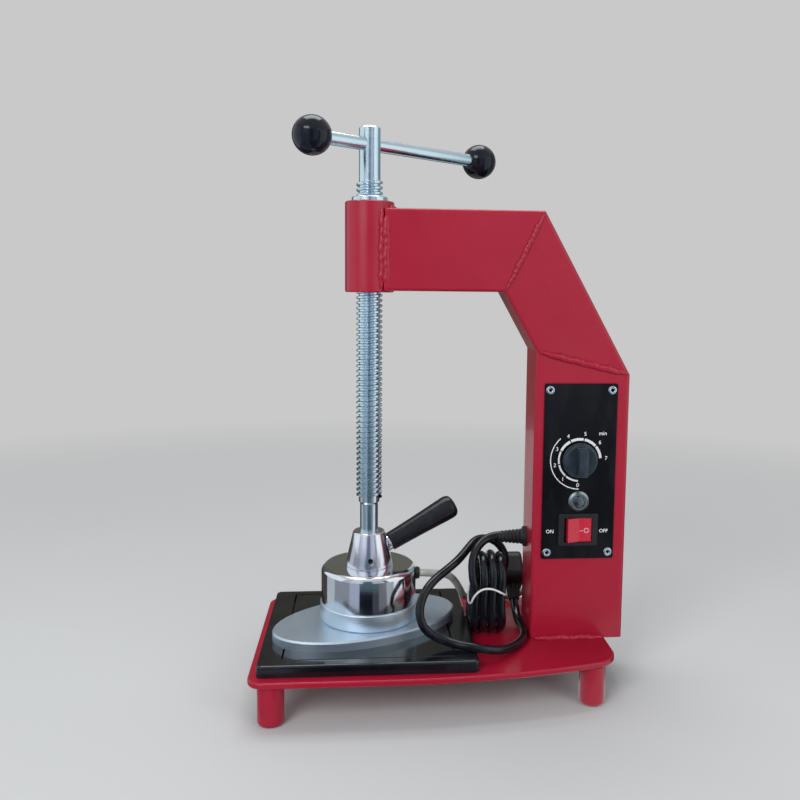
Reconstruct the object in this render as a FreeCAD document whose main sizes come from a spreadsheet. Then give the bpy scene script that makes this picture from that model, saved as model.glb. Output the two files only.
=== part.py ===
import FreeCAD, Part
import Sketcher
import math
import os
from FreeCAD import Placement, Rotation, Vector

# Tire vulcanizing press: a screw press whose heated sole patches a tyre against a pad.
# Millimetres. X runs from the press screw to the column, Y away from the operator, Z up.
# The origin is on the screw axis, at the floor.

doc = FreeCAD.newDocument("vulcanizing_press")
sheet = doc.addObject("Spreadsheet::Sheet", "Sizes")


class Dim:
    """A size with its number and the same formula in terms of the sheet's cells."""

    def __init__(self, value, text):
        self.value = value
        self.text = text

    @staticmethod
    def of(other):
        return other if isinstance(other, Dim) else Dim(float(other), "%.6g" % other)

    def __add__(self, other):
        other = Dim.of(other)
        return Dim(self.value + other.value, "(%s + %s)" % (self.text, other.text))

    def __sub__(self, other):
        other = Dim.of(other)
        return Dim(self.value - other.value, "(%s - %s)" % (self.text, other.text))

    def __mul__(self, other):
        other = Dim.of(other)
        return Dim(self.value * other.value, "(%s * %s)" % (self.text, other.text))

    def __truediv__(self, other):
        other = Dim.of(other)
        return Dim(self.value / other.value, "(%s / %s)" % (self.text, other.text))

    def __neg__(self):
        return Dim(-self.value, "(0 - %s)" % self.text)

    __radd__ = __add__
    __rmul__ = __mul__

    def __rsub__(self, other):
        return Dim.of(other) - self

    def __float__(self):
        return self.value


def root_of(dim):
    return Dim(math.sqrt(dim.value), "sqrt(%s)" % dim.text)


def cosine(angle):
    return Dim(math.cos(math.radians(angle.value)), "cos(%s * 1 deg)" % angle.text)


def sine(angle):
    return Dim(math.sin(math.radians(angle.value)), "sin(%s * 1 deg)" % angle.text)


sheet_row = 0


def size(alias, value, note):
    """Write one driving dimension in the sheet and return it."""
    global sheet_row
    sheet_row += 1
    sheet.set("A%d" % sheet_row, note)
    sheet.set("B%d" % sheet_row, "%.6g" % value)
    sheet.setAlias("B%d" % sheet_row, alias)
    return Dim(float(value), "Sizes.%s" % alias)


# Driving dimensions
# The base: four stub legs under a thick plate whose column end is bowed in and rounded.
leg_r = size("leg_r", 9.5, "leg radius")
leg_height = size("leg_height", 30, "leg height under the plate")
leg_edge = size("leg_edge", 3, "rounding of the leg's foot")
plate_thick = size("plate_thick", 4.5, "base plate thickness")
plate_left = size("plate_left", 85, "plate edge left of the screw axis")
plate_right = size("plate_right", 185, "plate end right of the screw axis")
plate_half = size("plate_half", 82.4, "half the plate's width")
plate_bow_start = size("plate_bow_start", 20, "where the long edges start to bow in")
plate_bow_r = size("plate_bow_r", 605, "radius of the bowed edge")
plate_corner_l = size("plate_corner_l", 12, "corner radius at the pad end")
plate_corner_r = size("plate_corner_r", 22, "corner radius at the column end")
plate_round = size("plate_round", 1.4, "rounding of the plate's edges")
leg_inset_l = size("leg_inset_l", 16, "pad end legs in from the plate's end")
leg_side_l = size("leg_side_l", 12, "pad end legs in from the plate's sides")
leg_inset_r = size("leg_inset_r", 19, "column end legs in from the plate's end")
leg_side_r = size("leg_side_r", 27.8, "column end legs in from the plate's widest sides")

# The pad: a moulded black slab with a raised rim and a sunk middle panel.
pad_half_x = size("pad_half_x", 79, "half the pad's length")
pad_half_y = size("pad_half_y", 74, "half the pad's depth")
pad_thick = size("pad_thick", 8.5, "pad thickness")
pad_corner = size("pad_corner", 4, "pad corner radius")
pad_round = size("pad_round", 2, "rounding of the pad's upper edge")
rim_x = size("rim_x", 16.5, "rim width at the ends")
rim_y = size("rim_y", 9, "rim width at the sides")
insert_thick = size("insert_thick", 3.5, "thickness of the middle panel let into the pad")
groove = size("groove", 1, "groove round the middle panel")

# The frame: three box sections, mitred and welded.
tube_half = size("tube_half", 19.4, "half the depth of the box sections")
tube_wall = size("tube_wall", 2, "wall of the box sections")
tube_corner = size("tube_corner", 2.6, "outer corner radius of the box sections")
col_left = size("col_left", 125.3, "column's near side, from the screw axis")
col_width = size("col_width", 73.3, "column width")
arm_low = size("arm_low", 269.7, "underside of the arm above the base plate")
arm_deep = size("arm_deep", 60.6, "height of the arm section")
arm_start = size("arm_start", 12, "arm end beside the collar")
neck_in_x = size("neck_in_x", 100.8, "inner corner of arm and neck")
neck_out_x = size("neck_out_x", 130.2, "outer corner of arm and neck")
shoulder_over = size("shoulder_over", 6.5, "outer corner of neck and column above the panel")

# The collar, its threaded bush and the press screw.
collar_r = size("collar_r", 18.5, "collar radius")
collar_bore = size("collar_bore", 13.5, "collar bore radius")
collar_over = size("collar_over", 5.5, "collar above the arm")
collar_under = size("collar_under", 1.2, "collar below the arm")
bush_over = size("bush_over", 3.7, "threaded bush above the collar")
seat_gap = size("seat_gap", 0.05, "gap where a round piece is pressed or welded into a bore")
screw_r = size("screw_r", 10, "screw thread radius")
screw_gap = size("screw_gap", 0.06, "running gap of the screw in its bush")
neck_r = size("neck_r", 7, "spindle radius below the thread")
head_r = size("head_r", 8, "plain end of the screw above the thread")
thread_low = size("thread_low", 140, "lower end of the thread")
thread_run = size("thread_run", 3, "thread run out at the lower end")
thread_over = size("thread_over", 12, "thread above the bush when the head is down")
head_taper = size("head_taper", 10, "taper from the thread to the plain end")
bar_over = size("bar_over", 16.5, "tommy bar above the screw's plain end")
head_over = size("head_over", 12.5, "screw end above the bar's axis")
screw_chamfer = size("screw_chamfer", 1, "chamfer of the screw's end")

# The tommy bar and its two balls.
bar_r = size("bar_r", 5, "tommy bar radius")
bar_gap = size("bar_gap", 0.08, "running gap of the bar in the screw")
bar_angle = size("bar_angle", 39.3, "plan angle of the bar from X")
bar_short = size("bar_short", 52.4, "near ball from the screw axis")
bar_long = size("bar_long", 118.7, "far ball from the screw axis")
ball_r = size("ball_r", 14.1, "ball radius")
ball_bore_deep = size("ball_bore_deep", 12, "depth of the ball's bore")
ball_flat = size("ball_flat", 13.0, "flat of the ball where the bar enters, from its centre")

# The heating head: sole, heater block, shell, cone and handle.
sole_a = size("sole_a", 75, "half the sole's length")
sole_b = size("sole_b", 42, "half the sole's width")
sole_thick = size("sole_thick", 7, "sole thickness")
sole_angle = size("sole_angle", 24, "plan angle of the sole's length")
sole_shift_x = size("sole_shift_x", 2, "sole centre left of the axis")
sole_shift_y = size("sole_shift_y", 4, "sole centre in front of the axis")
sole_bevel = size("sole_bevel", 1.2, "bevel round the sole's upper edge")
ring_top = size("ring_top", 13, "top of the ring above the sole")
ring_edge = size("ring_edge", 0.8, "chamfer of the ring")
block_high = size("block_high", 15, "heater block above the ring")
channel_wide = size("channel_wide", 8, "width of the element's channel")
channel_wall = size("channel_wall", 7.2, "block outside the element's channel")
channel_deep = size("channel_deep", 11, "depth of the element's channel")
inner_gap = size("inner_gap", 0.3, "gap round pieces laid inside the head")
shell_r = size("shell_r", 37, "shell radius")
shell_high = size("shell_high", 28.5, "shell height")
shell_wall = size("shell_wall", 1.5, "shell wall")
ring_over = size("ring_over", 1, "heater block's ring proud of the shell")
shell_bevel_r = size("shell_bevel_r", 3.5, "shell bevel inwards")
shell_bevel_z = size("shell_bevel_z", 3, "shell bevel downwards")
cone_low_r = size("cone_low_r", 18.5, "cone radius at its foot")
cone_top_r = size("cone_top_r", 12.5, "cone radius at its top")
cone_high = size("cone_high", 26.5, "cone height")
cone_floor = size("cone_floor", 1.5, "thickness under the cone's bore")
cone_edge = size("cone_edge", 0.8, "chamfer of the cone's top")
washer_thick = size("washer_thick", 1.5, "thrust washer thickness")
end_play = size("end_play", 0.15, "play above and below the thrust washer")
grub_r = size("grub_r", 2, "grub screw radius")
grub_height = size("grub_height", 6.8, "grub screw above the cone's foot")
grub_angle = size("grub_angle", -86, "plan angle of the grub screw")
groove_deep = size("groove_deep", 1.4, "depth of the spindle's groove")
groove_wide = size("groove_wide", 4.4, "width of the spindle's groove")
handle_angle = size("handle_angle", 18, "plan angle of the handle")
handle_rise = size("handle_rise", 25, "angle of the handle above level")
handle_root = size("handle_root", 106, "height of the handle's axis at its root")
handle_start = size("handle_start", 15.5, "handle's root from the axis")
grip_long = size("grip_long", 60, "grip length")
grip_root_r = size("grip_root_r", 7.3, "grip radius at its root")
grip_waist_r = size("grip_waist_r", 8.2, "grip radius in the middle")
grip_end_r = size("grip_end_r", 9.5, "grip radius near its end")
grip_round = size("grip_round", 4, "rounding of the grip's end")
stud_r = size("stud_r", 4, "handle stud radius")
stud_in = size("stud_in", 5, "stud inside the cone")
stud_out = size("stud_out", 30, "stud inside the grip")
lead_r = size("lead_r", 2.8, "heater lead radius")
lead_exit_angle = size("lead_exit_angle", -6, "plan angle of the lead's exit")
lead_exit_high = size("lead_exit_high", 21.5, "lead's exit above the shell's foot")
lead_inside = size("lead_inside", 7, "heater lead inside the shell")
lead_bend = size("lead_bend", 54, "where the heater lead bends down, from the screw axis")
bushing_r = size("bushing_r", 3.6, "lead bushing radius in the wall")
bushing_lip = size("bushing_lip", 1.4, "lip of the lead bushing")

# The control panel on the column.
panel_wide = size("panel_wide", 56.4, "panel plate width")
panel_high = size("panel_high", 136.4, "panel plate height")
panel_thick = size("panel_thick", 1.2, "panel plate thickness")
panel_shift = size("panel_shift", 1.35, "panel centre left of the column's middle")
panel_low = size("panel_low", 64.9, "panel's lower edge above the base plate")
panel_corner = size("panel_corner", 1.5, "panel corner radius")
window_margin = size("window_margin", 8, "panel overlap round the column's window")
rivet_in_x = size("rivet_in_x", 4.2, "rivets in from the panel's sides")
rivet_in_z = size("rivet_in_z", 5, "rivets in from the panel's ends")
rivet_head_r = size("rivet_head_r", 3.3, "eyelet rivet head radius")
rivet_shank_r = size("rivet_shank_r", 1.9, "eyelet rivet shank radius")
rivet_bore_r = size("rivet_bore_r", 1.2, "eyelet rivet bore radius")
knob_z = size("knob_z", 142.3, "timer knob above the base plate")
knob_r = size("knob_r", 13.6, "timer knob radius")
knob_skirt = size("knob_skirt", 5, "timer knob skirt height")
knob_high = size("knob_high", 15, "timer knob height with its grip")
knob_grip = size("knob_grip", 8, "width of the knob's grip")
knob_gap = size("knob_gap", 0.6, "gap between knob and panel")
spindle_r = size("spindle_r", 3, "timer spindle radius")
spindle_gap = size("spindle_gap", 0.08, "running gap of the timer spindle")
timer_r = size("timer_r", 19, "clockwork timer radius")
timer_deep = size("timer_deep", 24, "clockwork timer depth")
lamp_z = size("lamp_z", 110.1, "pilot lamp above the base plate")
lamp_r = size("lamp_r", 8, "pilot lamp bezel radius")
lamp_hole = size("lamp_hole", 5.5, "pilot lamp hole radius")
lamp_lens_r = size("lamp_lens_r", 5.0, "pilot lamp lens radius")
lamp_long = size("lamp_long", 20, "pilot lamp body length")
switch_z = size("switch_z", 87.8, "rocker switch above the base plate")
switch_wide = size("switch_wide", 31, "rocker switch bezel width")
switch_high = size("switch_high", 25.4, "rocker switch bezel height")
bezel_thick = size("bezel_thick", 2, "rocker switch bezel thickness")
bezel_rim = size("bezel_rim", 4.7, "rocker switch bezel rim")
housing_wide = size("housing_wide", 28, "rocker switch housing width")
housing_high = size("housing_high", 23.4, "rocker switch housing height")
housing_deep = size("housing_deep", 22, "rocker switch housing depth")
rocker_gap = size("rocker_gap", 0.4, "gap round the rocker")
rocker_pivot = size("rocker_pivot", 3, "rocker pivot behind the panel's face")
rocker_tilt = size("rocker_tilt", 10, "rocker tilt each way from level")

# The mains cord, its hank, its plug and its strain relief.
cord_r = size("cord_r", 3.3, "mains cord radius")
relief_long = size("relief_long", 22, "strain relief length outside the column")
relief_root_r = size("relief_root_r", 6, "strain relief radius at the column")
relief_tip_r = size("relief_tip_r", 4.1, "strain relief radius at its tip")
cord_inside = size("cord_inside", 8, "cord inside the column's wall")
cord_exit_y = size("cord_exit_y", 8, "cord's exit behind the middle")
cord_exit_z = size("cord_exit_z", 74.5, "cord's exit above the base plate")
hank_turns = size("hank_turns", 4, "turns in the hank")
hank_left = size("hank_left", 83, "left strand of the hank")
hank_pitch = size("hank_pitch", 7.5, "step from turn to turn of the hank")
hank_lobe = size("hank_lobe", 17.5, "half the hank's depth, and its folds' radius")
hank_top = size("hank_top", 62.5, "top of the hank's centreline above the plate")
hank_draw = size("hank_draw", 1.8, "how far the tie draws the hank in at its waist")
tie_r = size("tie_r", 0.9, "hank tie radius")
plug_pin_long = size("plug_pin_long", 18, "plug pin length")
plug_pin_wide = size("plug_pin_wide", 6.3, "plug pin width")
plug_pin_thick = size("plug_pin_thick", 1.5, "plug pin thickness")

# Levels that several pieces share
plate_low = leg_height
plate_top = leg_height + plate_thick
pad_top = plate_top + pad_thick
sole_top = pad_top + sole_thick
ring_level = sole_top + ring_top
ring_r = shell_r + ring_over
block_r = shell_r - shell_wall - inner_gap
channel_out = block_r - channel_wall
channel_in = channel_out - channel_wide
shell_top = ring_level + shell_high
cone_top = shell_top + cone_high
arm_bottom = plate_top + arm_low
arm_top = arm_bottom + arm_deep
col_right = col_left + col_width
panel_x = col_left + col_width / 2 - panel_shift
shoulder_z = plate_top + panel_low + panel_high + shoulder_over
collar_bottom = arm_bottom - collar_under
collar_top = arm_top + collar_over
bush_top = collar_top + bush_over
thread_top = bush_top + thread_over
bar_height = thread_top + head_taper + bar_over
column_face = -tube_half
panel_face = column_face - panel_thick


def bind(obj, prop, dim):
    """Tie a property to a formula of the sheet's cells."""
    obj.setExpression(prop, Dim.of(dim).text)


def new_body(label):
    body = doc.addObject("PartDesign::Body", label)
    body.Label = label
    return body


def origin_plane(body, role):
    return [f for f in body.Origin.OriginFeatures if f.Role == role][0]


def new_sketch(body, role, offset=None):
    """A sketch on one of the body's own origin planes, moved along its normal by offset."""
    sketch = body.newObject("Sketcher::SketchObject", body.Name + "_sketch")
    sketch.AttachmentSupport = (origin_plane(body, role), [""])
    sketch.MapMode = "FlatFace"
    if offset is not None:
        bind(sketch, "AttachmentOffset.Base.z", offset)
    return sketch


def pin_point(sketch, geo, pos, x, y):
    """Hold one point of a sketch at formulas for its two coordinates."""
    for dim, kind, axis in ((Dim.of(x), "DistanceX", -2), (Dim.of(y), "DistanceY", -1)):
        if abs(dim.value) < 1e-9:
            sketch.addConstraint(Sketcher.Constraint("PointOnObject", geo, pos, axis))
        elif dim.value > 0:
            index = sketch.addConstraint(Sketcher.Constraint(kind, -1, 1, geo, pos, dim.value))
            sketch.setExpression("Constraints[%d]" % index, dim.text)
        else:
            index = sketch.addConstraint(Sketcher.Constraint(kind, geo, pos, -1, 1, -dim.value))
            sketch.setExpression("Constraints[%d]" % index, (-dim).text)


def outline(sketch, points, arcs=None):
    """A closed outline. arcs maps a side's number to its radius, with its centre on the left
    of the way it runs when the radius is positive and on the right when it is negative."""
    arcs = arcs or {}
    first = sketch.GeometryCount
    count = len(points)
    spots = [Vector(float(Dim.of(x)), float(Dim.of(y)), 0) for x, y in points]
    flipped = set()
    for i in range(count):
        a = spots[i]
        b = spots[(i + 1) % count]
        if i not in arcs:
            sketch.addGeometry(Part.LineSegment(a, b), False)
            continue
        radius = abs(arcs[i][0].value)
        side = arcs[i][1]
        half = (b - a) * 0.5
        rise = math.sqrt(max(radius ** 2 - half.Length ** 2, 0))
        across = Vector(-half.y, half.x, 0)
        across.normalize()
        centre = a + half + across * rise * side
        start = math.atan2(a.y - centre.y, a.x - centre.x)
        end = math.atan2(b.y - centre.y, b.x - centre.x)
        if side < 0:
            start, end = end, start
            flipped.add(i)
        circle = Part.Circle(centre, Vector(0, 0, 1), radius)
        sketch.addGeometry(Part.ArcOfCircle(circle, start, end), False)
    for i in range(count):
        after = (i + 1) % count
        end_pos = 1 if i in flipped else 2
        start_pos = 2 if after in flipped else 1
        sketch.addConstraint(
            Sketcher.Constraint("Coincident", first + i, end_pos, first + after, start_pos))
    for i in range(count):
        pin_point(sketch, first + i, 2 if i in flipped else 1, *points[i])
    for i, (radius, side) in arcs.items():
        index = sketch.addConstraint(Sketcher.Constraint("Radius", first + i, radius.value))
        sketch.setExpression("Constraints[%d]" % index, radius.text)


def rectangle(sketch, x0, y0, x1, y1):
    outline(sketch, [(x0, y0), (x1, y0), (x1, y1), (x0, y1)])


def circle(sketch, x, y, radius):
    geo = sketch.addGeometry(
        Part.Circle(Vector(float(Dim.of(x)), float(Dim.of(y)), 0), Vector(0, 0, 1), radius.value),
        False)
    pin_point(sketch, geo, 3, x, y)
    index = sketch.addConstraint(Sketcher.Constraint("Radius", geo, radius.value))
    sketch.setExpression("Constraints[%d]" % index, radius.text)


def pad(body, sketch, length, midplane=False, reverse=False):
    feature = body.newObject("PartDesign::Pad", body.Name + "_pad")
    feature.Profile = sketch
    bind(feature, "Length", length)
    feature.Midplane = midplane
    feature.Reversed = reverse
    doc.recompute()
    return feature


def pocket(body, sketch, length=None, midplane=False, reverse=False):
    """Cut a sketch through everything, or as deep as length."""
    feature = body.newObject("PartDesign::Pocket", body.Name + "_pocket")
    feature.Profile = sketch
    before = body.Shape.Volume
    if length is None:
        feature.Type = "ThroughAll"
    else:
        bind(feature, "Length", length)
    feature.Midplane = midplane
    feature.Reversed = reverse
    doc.recompute()
    if body.Shape.Volume >= before:
        raise RuntimeError("%s cuts nothing" % feature.Name)
    return feature


def revolve(body, points, arcs=None):
    """Turn an outline of radius and height about the body's own Z axis."""
    sketch = new_sketch(body, "XZ_Plane")
    outline(sketch, points, arcs)
    feature = body.newObject("PartDesign::Revolution", body.Name + "_turned")
    feature.Profile = sketch
    feature.ReferenceAxis = (sketch, ["V_Axis"])
    feature.Angle = 360
    doc.recompute()
    return feature


def edges_where(shape, test):
    return ["Edge%d" % (i + 1) for i, edge in enumerate(shape.Edges) if test(edge)]


def dress(body, kind, radius, test):
    """Round or chamfer every edge of the body that passes the test."""
    base = body.Tip
    names = edges_where(base.Shape, test)
    if not names:
        raise RuntimeError("%s has no such edge" % body.Name)
    feature = body.newObject("PartDesign::" + kind, body.Name + "_" + kind.lower())
    feature.Base = (base, names)
    bind(feature, "Radius" if kind == "Fillet" else "Size", radius)
    doc.recompute()
    return feature


def is_along(edge, direction):
    """True for a straight edge along a direction."""
    if edge.Curve.TypeId != "Part::GeomLine":
        return False
    return abs(abs(edge.Curve.Direction.dot(direction)) - 1) < 1e-6


def at_height(edge, height):
    box = edge.BoundBox
    return abs(box.ZMin - float(height)) < 1e-3 and abs(box.ZMax - float(height)) < 1e-3


def primitive(kind, name, **sizes):
    """One of Part's primitives with its sizes tied to the sheet."""
    obj = doc.addObject("Part::" + kind, name)
    for prop, dim in sizes.items():
        bind(obj, prop, dim)
    return obj


def place(obj, x=0, y=0, z=0, rotation=None):
    """Put an object at formulas for its place, turned by a rotation of its own."""
    if rotation is not None:
        obj.Placement = Placement(Vector(0, 0, 0), rotation)
    for prop, dim in (("x", x), ("y", y), ("z", z)):
        dim = Dim.of(dim)
        if dim.text != "0":
            bind(obj, "Placement.Base." + prop, dim)
    return obj


def cut(label, base, tool):
    obj = doc.addObject("Part::Cut", label)
    obj.Label = label
    obj.Base = base
    obj.Tool = tool
    return obj


def fuse(label, shapes):
    obj = doc.addObject("Part::MultiFuse", label)
    obj.Label = label
    obj.Shapes = shapes
    return obj


def group(label, shapes):
    """Several like pieces that share one node, each a solid of its own."""
    obj = doc.addObject("Part::Compound", label)
    obj.Label = label
    obj.Links = shapes
    return obj


def fixed_shape(label, shape):
    obj = doc.addObject("Part::Feature", label)
    obj.Label = label
    obj.Shape = shape
    return obj


pieces = []

# Turns that lay a body's Z axis along another direction
TO_FRONT = Rotation(Vector(1, 0, 0), 90)
TO_RIGHT = Rotation(Vector(0, 1, 0), 90)


# The base plate, bowed in and rounded towards the column
bow_drop = plate_bow_r - plate_corner_r
corner_x = plate_right - plate_corner_r
corner_y = root_of(bow_drop * bow_drop - (corner_x - plate_bow_start) * (corner_x - plate_bow_start))
corner_y = corner_y - (plate_bow_r - plate_half)
touch_x = plate_bow_start + (corner_x - plate_bow_start) * plate_bow_r / bow_drop
touch_y = (corner_y + plate_bow_r - plate_half) * plate_bow_r / bow_drop - (plate_bow_r - plate_half)

base_plate = new_body("base_plate")
profile = new_sketch(base_plate, "XY_Plane", plate_low)
outline(
    profile,
    [(-plate_left + plate_corner_l, -plate_half), (plate_bow_start, -plate_half),
     (touch_x, -touch_y), (plate_right, -corner_y), (plate_right, corner_y),
     (touch_x, touch_y), (plate_bow_start, plate_half),
     (-plate_left + plate_corner_l, plate_half), (-plate_left, plate_half - plate_corner_l),
     (-plate_left, -plate_half + plate_corner_l)],
    {1: (plate_bow_r, 1), 2: (plate_corner_r, 1), 4: (plate_corner_r, 1),
     5: (plate_bow_r, 1), 7: (plate_corner_l, 1), 9: (plate_corner_l, 1)})
pad(base_plate, profile, plate_thick)
dress(base_plate, "Fillet", plate_round, lambda e: at_height(e, plate_low) or at_height(e, plate_top))
pieces.append(base_plate)

# The legs: turned stubs with a rounded foot, welded under the plate
for name, x, y in (
        ("leg_pad_near", -plate_left + leg_inset_l, leg_side_l - plate_half),
        ("leg_pad_far", -plate_left + leg_inset_l, plate_half - leg_side_l),
        ("leg_column_near", plate_right - leg_inset_r, leg_side_r - plate_half),
        ("leg_column_far", plate_right - leg_inset_r, plate_half - leg_side_r)):
    leg = new_body(name)
    revolve(leg, [(0, 0), (leg_r - leg_edge, 0), (leg_r, leg_edge), (leg_r, leg_height), (0, leg_height)],
            {1: (leg_edge, 1)})
    place(leg, x, y)
    pieces.append(leg)

# The pad: a slab with rounded rim, and the middle panel let into it
press_pad = new_body("press_pad")
profile = new_sketch(press_pad, "XY_Plane", plate_top)
rectangle(profile, -pad_half_x, -pad_half_y, pad_half_x, pad_half_y)
pad(press_pad, profile, pad_thick)
dress(press_pad, "Fillet", pad_corner, lambda e: is_along(e, Vector(0, 0, 1)))
dress(press_pad, "Fillet", pad_round, lambda e: at_height(e, pad_top))
profile = new_sketch(press_pad, "XY_Plane", pad_top)
rectangle(profile, rim_x - pad_half_x, rim_y - pad_half_y, pad_half_x - rim_x, pad_half_y - rim_y)
pocket(press_pad, profile, insert_thick)
pieces.append(press_pad)

pad_insert = new_body("pad_insert")
insert_x = pad_half_x - rim_x - groove
insert_y = pad_half_y - rim_y - groove
profile = new_sketch(pad_insert, "XY_Plane", pad_top - insert_thick)
rectangle(profile, -insert_x, -insert_y, insert_x, insert_y)
pad(pad_insert, profile, insert_thick)
dress(pad_insert, "Chamfer", groove * 0.4, lambda e: at_height(e, pad_top))
pieces.append(pad_insert)

# The frame: each box section is a mitred outline, rounded along its length and hollowed
neck_run = col_right - neck_out_x
neck_fall = arm_top - shoulder_z
neck_long = root_of(neck_run * neck_run + neck_fall * neck_fall)
along_x = neck_run / neck_long
along_z = -neck_fall / neck_long
elbow_z = arm_bottom - (col_left - neck_in_x) * neck_fall / neck_run


def box_section(label, outer, inner, ends):
    """A welded box section: outer and inner outlines in the XZ plane; ends are its cut sides."""
    body = new_body(label)
    sketch = new_sketch(body, "XZ_Plane")
    outline(sketch, outer)
    pad(body, sketch, tube_half * 2, midplane=True)

    def long_edge(edge):
        if edge.Curve.TypeId != "Part::GeomLine" or is_along(edge, Vector(0, 1, 0)):
            return False
        middle = edge.CenterOfMass
        for i in ends:
            a = Vector(float(outer[i][0]), 0, float(outer[i][1]))
            b = Vector(float(outer[(i + 1) % 4][0]), 0, float(outer[(i + 1) % 4][1]))
            spot = Vector(middle.x, 0, middle.z)
            if (spot - (a + b) * 0.5).Length < 1e-3:
                return False
        return True

    dress(body, "Fillet", tube_corner, long_edge)
    sketch = new_sketch(body, "XZ_Plane")
    outline(sketch, inner)
    pocket(body, sketch, (tube_half - tube_wall) * 2, midplane=True)
    return body


beyond = tube_wall * 8
column = box_section(
    "column",
    [(col_left, plate_top), (col_right, plate_top), (col_right, shoulder_z), (col_left, elbow_z)],
    [(col_left + tube_wall, plate_top - beyond), (col_right - tube_wall, plate_top - beyond),
     (col_right - tube_wall, shoulder_z + beyond), (col_left + tube_wall, elbow_z + beyond)],
    (0, 2))
window_x = panel_wide / 2 - window_margin
window_z0 = plate_top + panel_low + window_margin
window_z1 = plate_top + panel_low + panel_high - window_margin
profile = new_sketch(column, "XZ_Plane", tube_half + 1)
rectangle(profile, panel_x - window_x, window_z0, panel_x + window_x, window_z1)
pocket(column, profile, tube_wall + 2)

neck = box_section(
    "neck",
    [(neck_in_x, arm_bottom), (col_left, elbow_z), (col_right, shoulder_z), (neck_out_x, arm_top)],
    [(neck_in_x - along_z * tube_wall - along_x * beyond,
      arm_bottom + along_x * tube_wall - along_z * beyond),
     (col_left - along_z * tube_wall + along_x * beyond,
      elbow_z + along_x * tube_wall + along_z * beyond),
     (col_right + along_z * tube_wall + along_x * beyond,
      shoulder_z - along_x * tube_wall + along_z * beyond),
     (neck_out_x + along_z * tube_wall - along_x * beyond,
      arm_top - along_x * tube_wall - along_z * beyond)],
    (1, 3))
pieces.append(neck)

arm = box_section(
    "arm",
    [(arm_start, arm_bottom), (neck_in_x, arm_bottom), (neck_out_x, arm_top), (arm_start, arm_top)],
    [(arm_start - beyond, arm_bottom + tube_wall), (neck_out_x + beyond, arm_bottom + tube_wall),
     (neck_out_x + beyond, arm_top - tube_wall), (arm_start - beyond, arm_top - tube_wall)],
    (1, 3))
profile = new_sketch(arm, "XY_Plane", arm_bottom + arm_deep / 2)
circle(profile, 0, 0, collar_r + seat_gap)
pocket(arm, profile, arm_deep + 4, midplane=True)
pieces.append(arm)

# The collar and its threaded bush
screw_collar = new_body("screw_collar")
revolve(screw_collar,
        [(collar_bore, collar_bottom), (collar_r - cone_edge, collar_bottom),
         (collar_r, collar_bottom + cone_edge), (collar_r, collar_top - cone_edge),
         (collar_r - cone_edge, collar_top), (collar_bore, collar_top)])
pieces.append(screw_collar)

screw_bush = new_body("screw_bush")
bush_r = collar_bore - seat_gap
revolve(screw_bush,
        [(screw_r + screw_gap, collar_bottom), (bush_r, collar_bottom),
         (bush_r, bush_top - cone_edge), (bush_r - cone_edge, bush_top),
         (screw_r + screw_gap + cone_edge, bush_top), (screw_r + screw_gap, bush_top - cone_edge)])
pieces.append(screw_bush)

# Weld beads
bead_foot = size("bead_foot", 3, "leg of the weld at the column's foot")
bead_seam = size("bead_seam", 2, "radius of the weld across the shoulder")
bead_mitre = size("bead_mitre", 1.1, "radius of the weld across the upper mitre")
bead_collar = size("bead_collar", 2.2, "radius of the weld between arm and collar")
bead_end = size("bead_end", 3.2, "welds end short of the corners by this")
foot_x0 = col_left + tube_corner
foot_x1 = plate_right - plate_round * 2
foot_welds = []
for name, side, turn in (("foot_weld_near", -1, 180), ("foot_weld_far", 1, 90)):
    bead = primitive("Cylinder", name, Radius=bead_foot, Height=foot_x1 - foot_x0)
    bead.Angle = 90
    place(bead, foot_x0, tube_half * side, plate_top,
          TO_RIGHT * Rotation(Vector(0, 0, 1), turn))
    foot_welds.append(bead)
pieces.append(group("foot_weld", foot_welds))


def seam_bead(name, x0, z0, x1, z1, radius, side):
    """A half round bead across a mitre, lying on the near or far face of the frame."""
    run = x1 - x0
    rise = z1 - z0
    length = root_of(run * run + rise * rise)
    bead = primitive("Cylinder", name, Radius=radius, Height=length - bead_end * 2)
    bead.Angle = 180
    tilt = math.degrees(math.atan2(run.value, rise.value))
    spin = 180 if side < 0 else 0
    place(bead, x0 + run / length * bead_end, tube_half * side, z0 + rise / length * bead_end,
          Rotation(Vector(0, 1, 0), tilt) * Rotation(Vector(0, 0, 1), spin))
    return bead


seam_welds = []
for name, side in (("near", -1), ("far", 1)):
    seam_welds.append(seam_bead("shoulder_bead_" + name, col_left, elbow_z, col_right, shoulder_z,
                                bead_seam, side))
    seam_welds.append(seam_bead("mitre_bead_" + name, neck_in_x, arm_bottom, neck_out_x, arm_top,
                                bead_mitre, side))
pieces.append(group("seam_weld", seam_welds))

collar_welds = []
for name, side in (("near", -1), ("far", 1)):
    rod = primitive("Cylinder", "collar_rod_" + name, Radius=bead_collar, Height=arm_deep)
    place(rod, arm_start - bead_collar, (tube_half - bead_collar * 0.6) * side, arm_bottom)
    core = primitive("Cylinder", "collar_core_" + name, Radius=collar_r + seat_gap,
                     Height=arm_deep + 2)
    place(core, 0, 0, arm_bottom - 1)
    collar_welds.append(cut("collar_bead_" + name, rod, core))
ring = primitive("Torus", "collar_bead_ring", Radius1=collar_r + seat_gap, Radius2=bead_collar)
ring.Angle3 = 80
place(ring, 0, 0, arm_top, Rotation(Vector(0, 0, 1), -40))
core = primitive("Cylinder", "collar_core_ring", Radius=collar_r + seat_gap, Height=bead_collar * 3)
place(core, 0, 0, arm_top - bead_collar)
under = primitive("Cylinder", "collar_under_ring", Radius=collar_r * 2, Height=bead_collar * 2)
place(under, 0, 0, arm_top - bead_collar * 2)
collar_welds.append(cut("collar_bead_top", ring, fuse("collar_bead_tool", [core, under])))
pieces.append(group("collar_weld", collar_welds))

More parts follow.
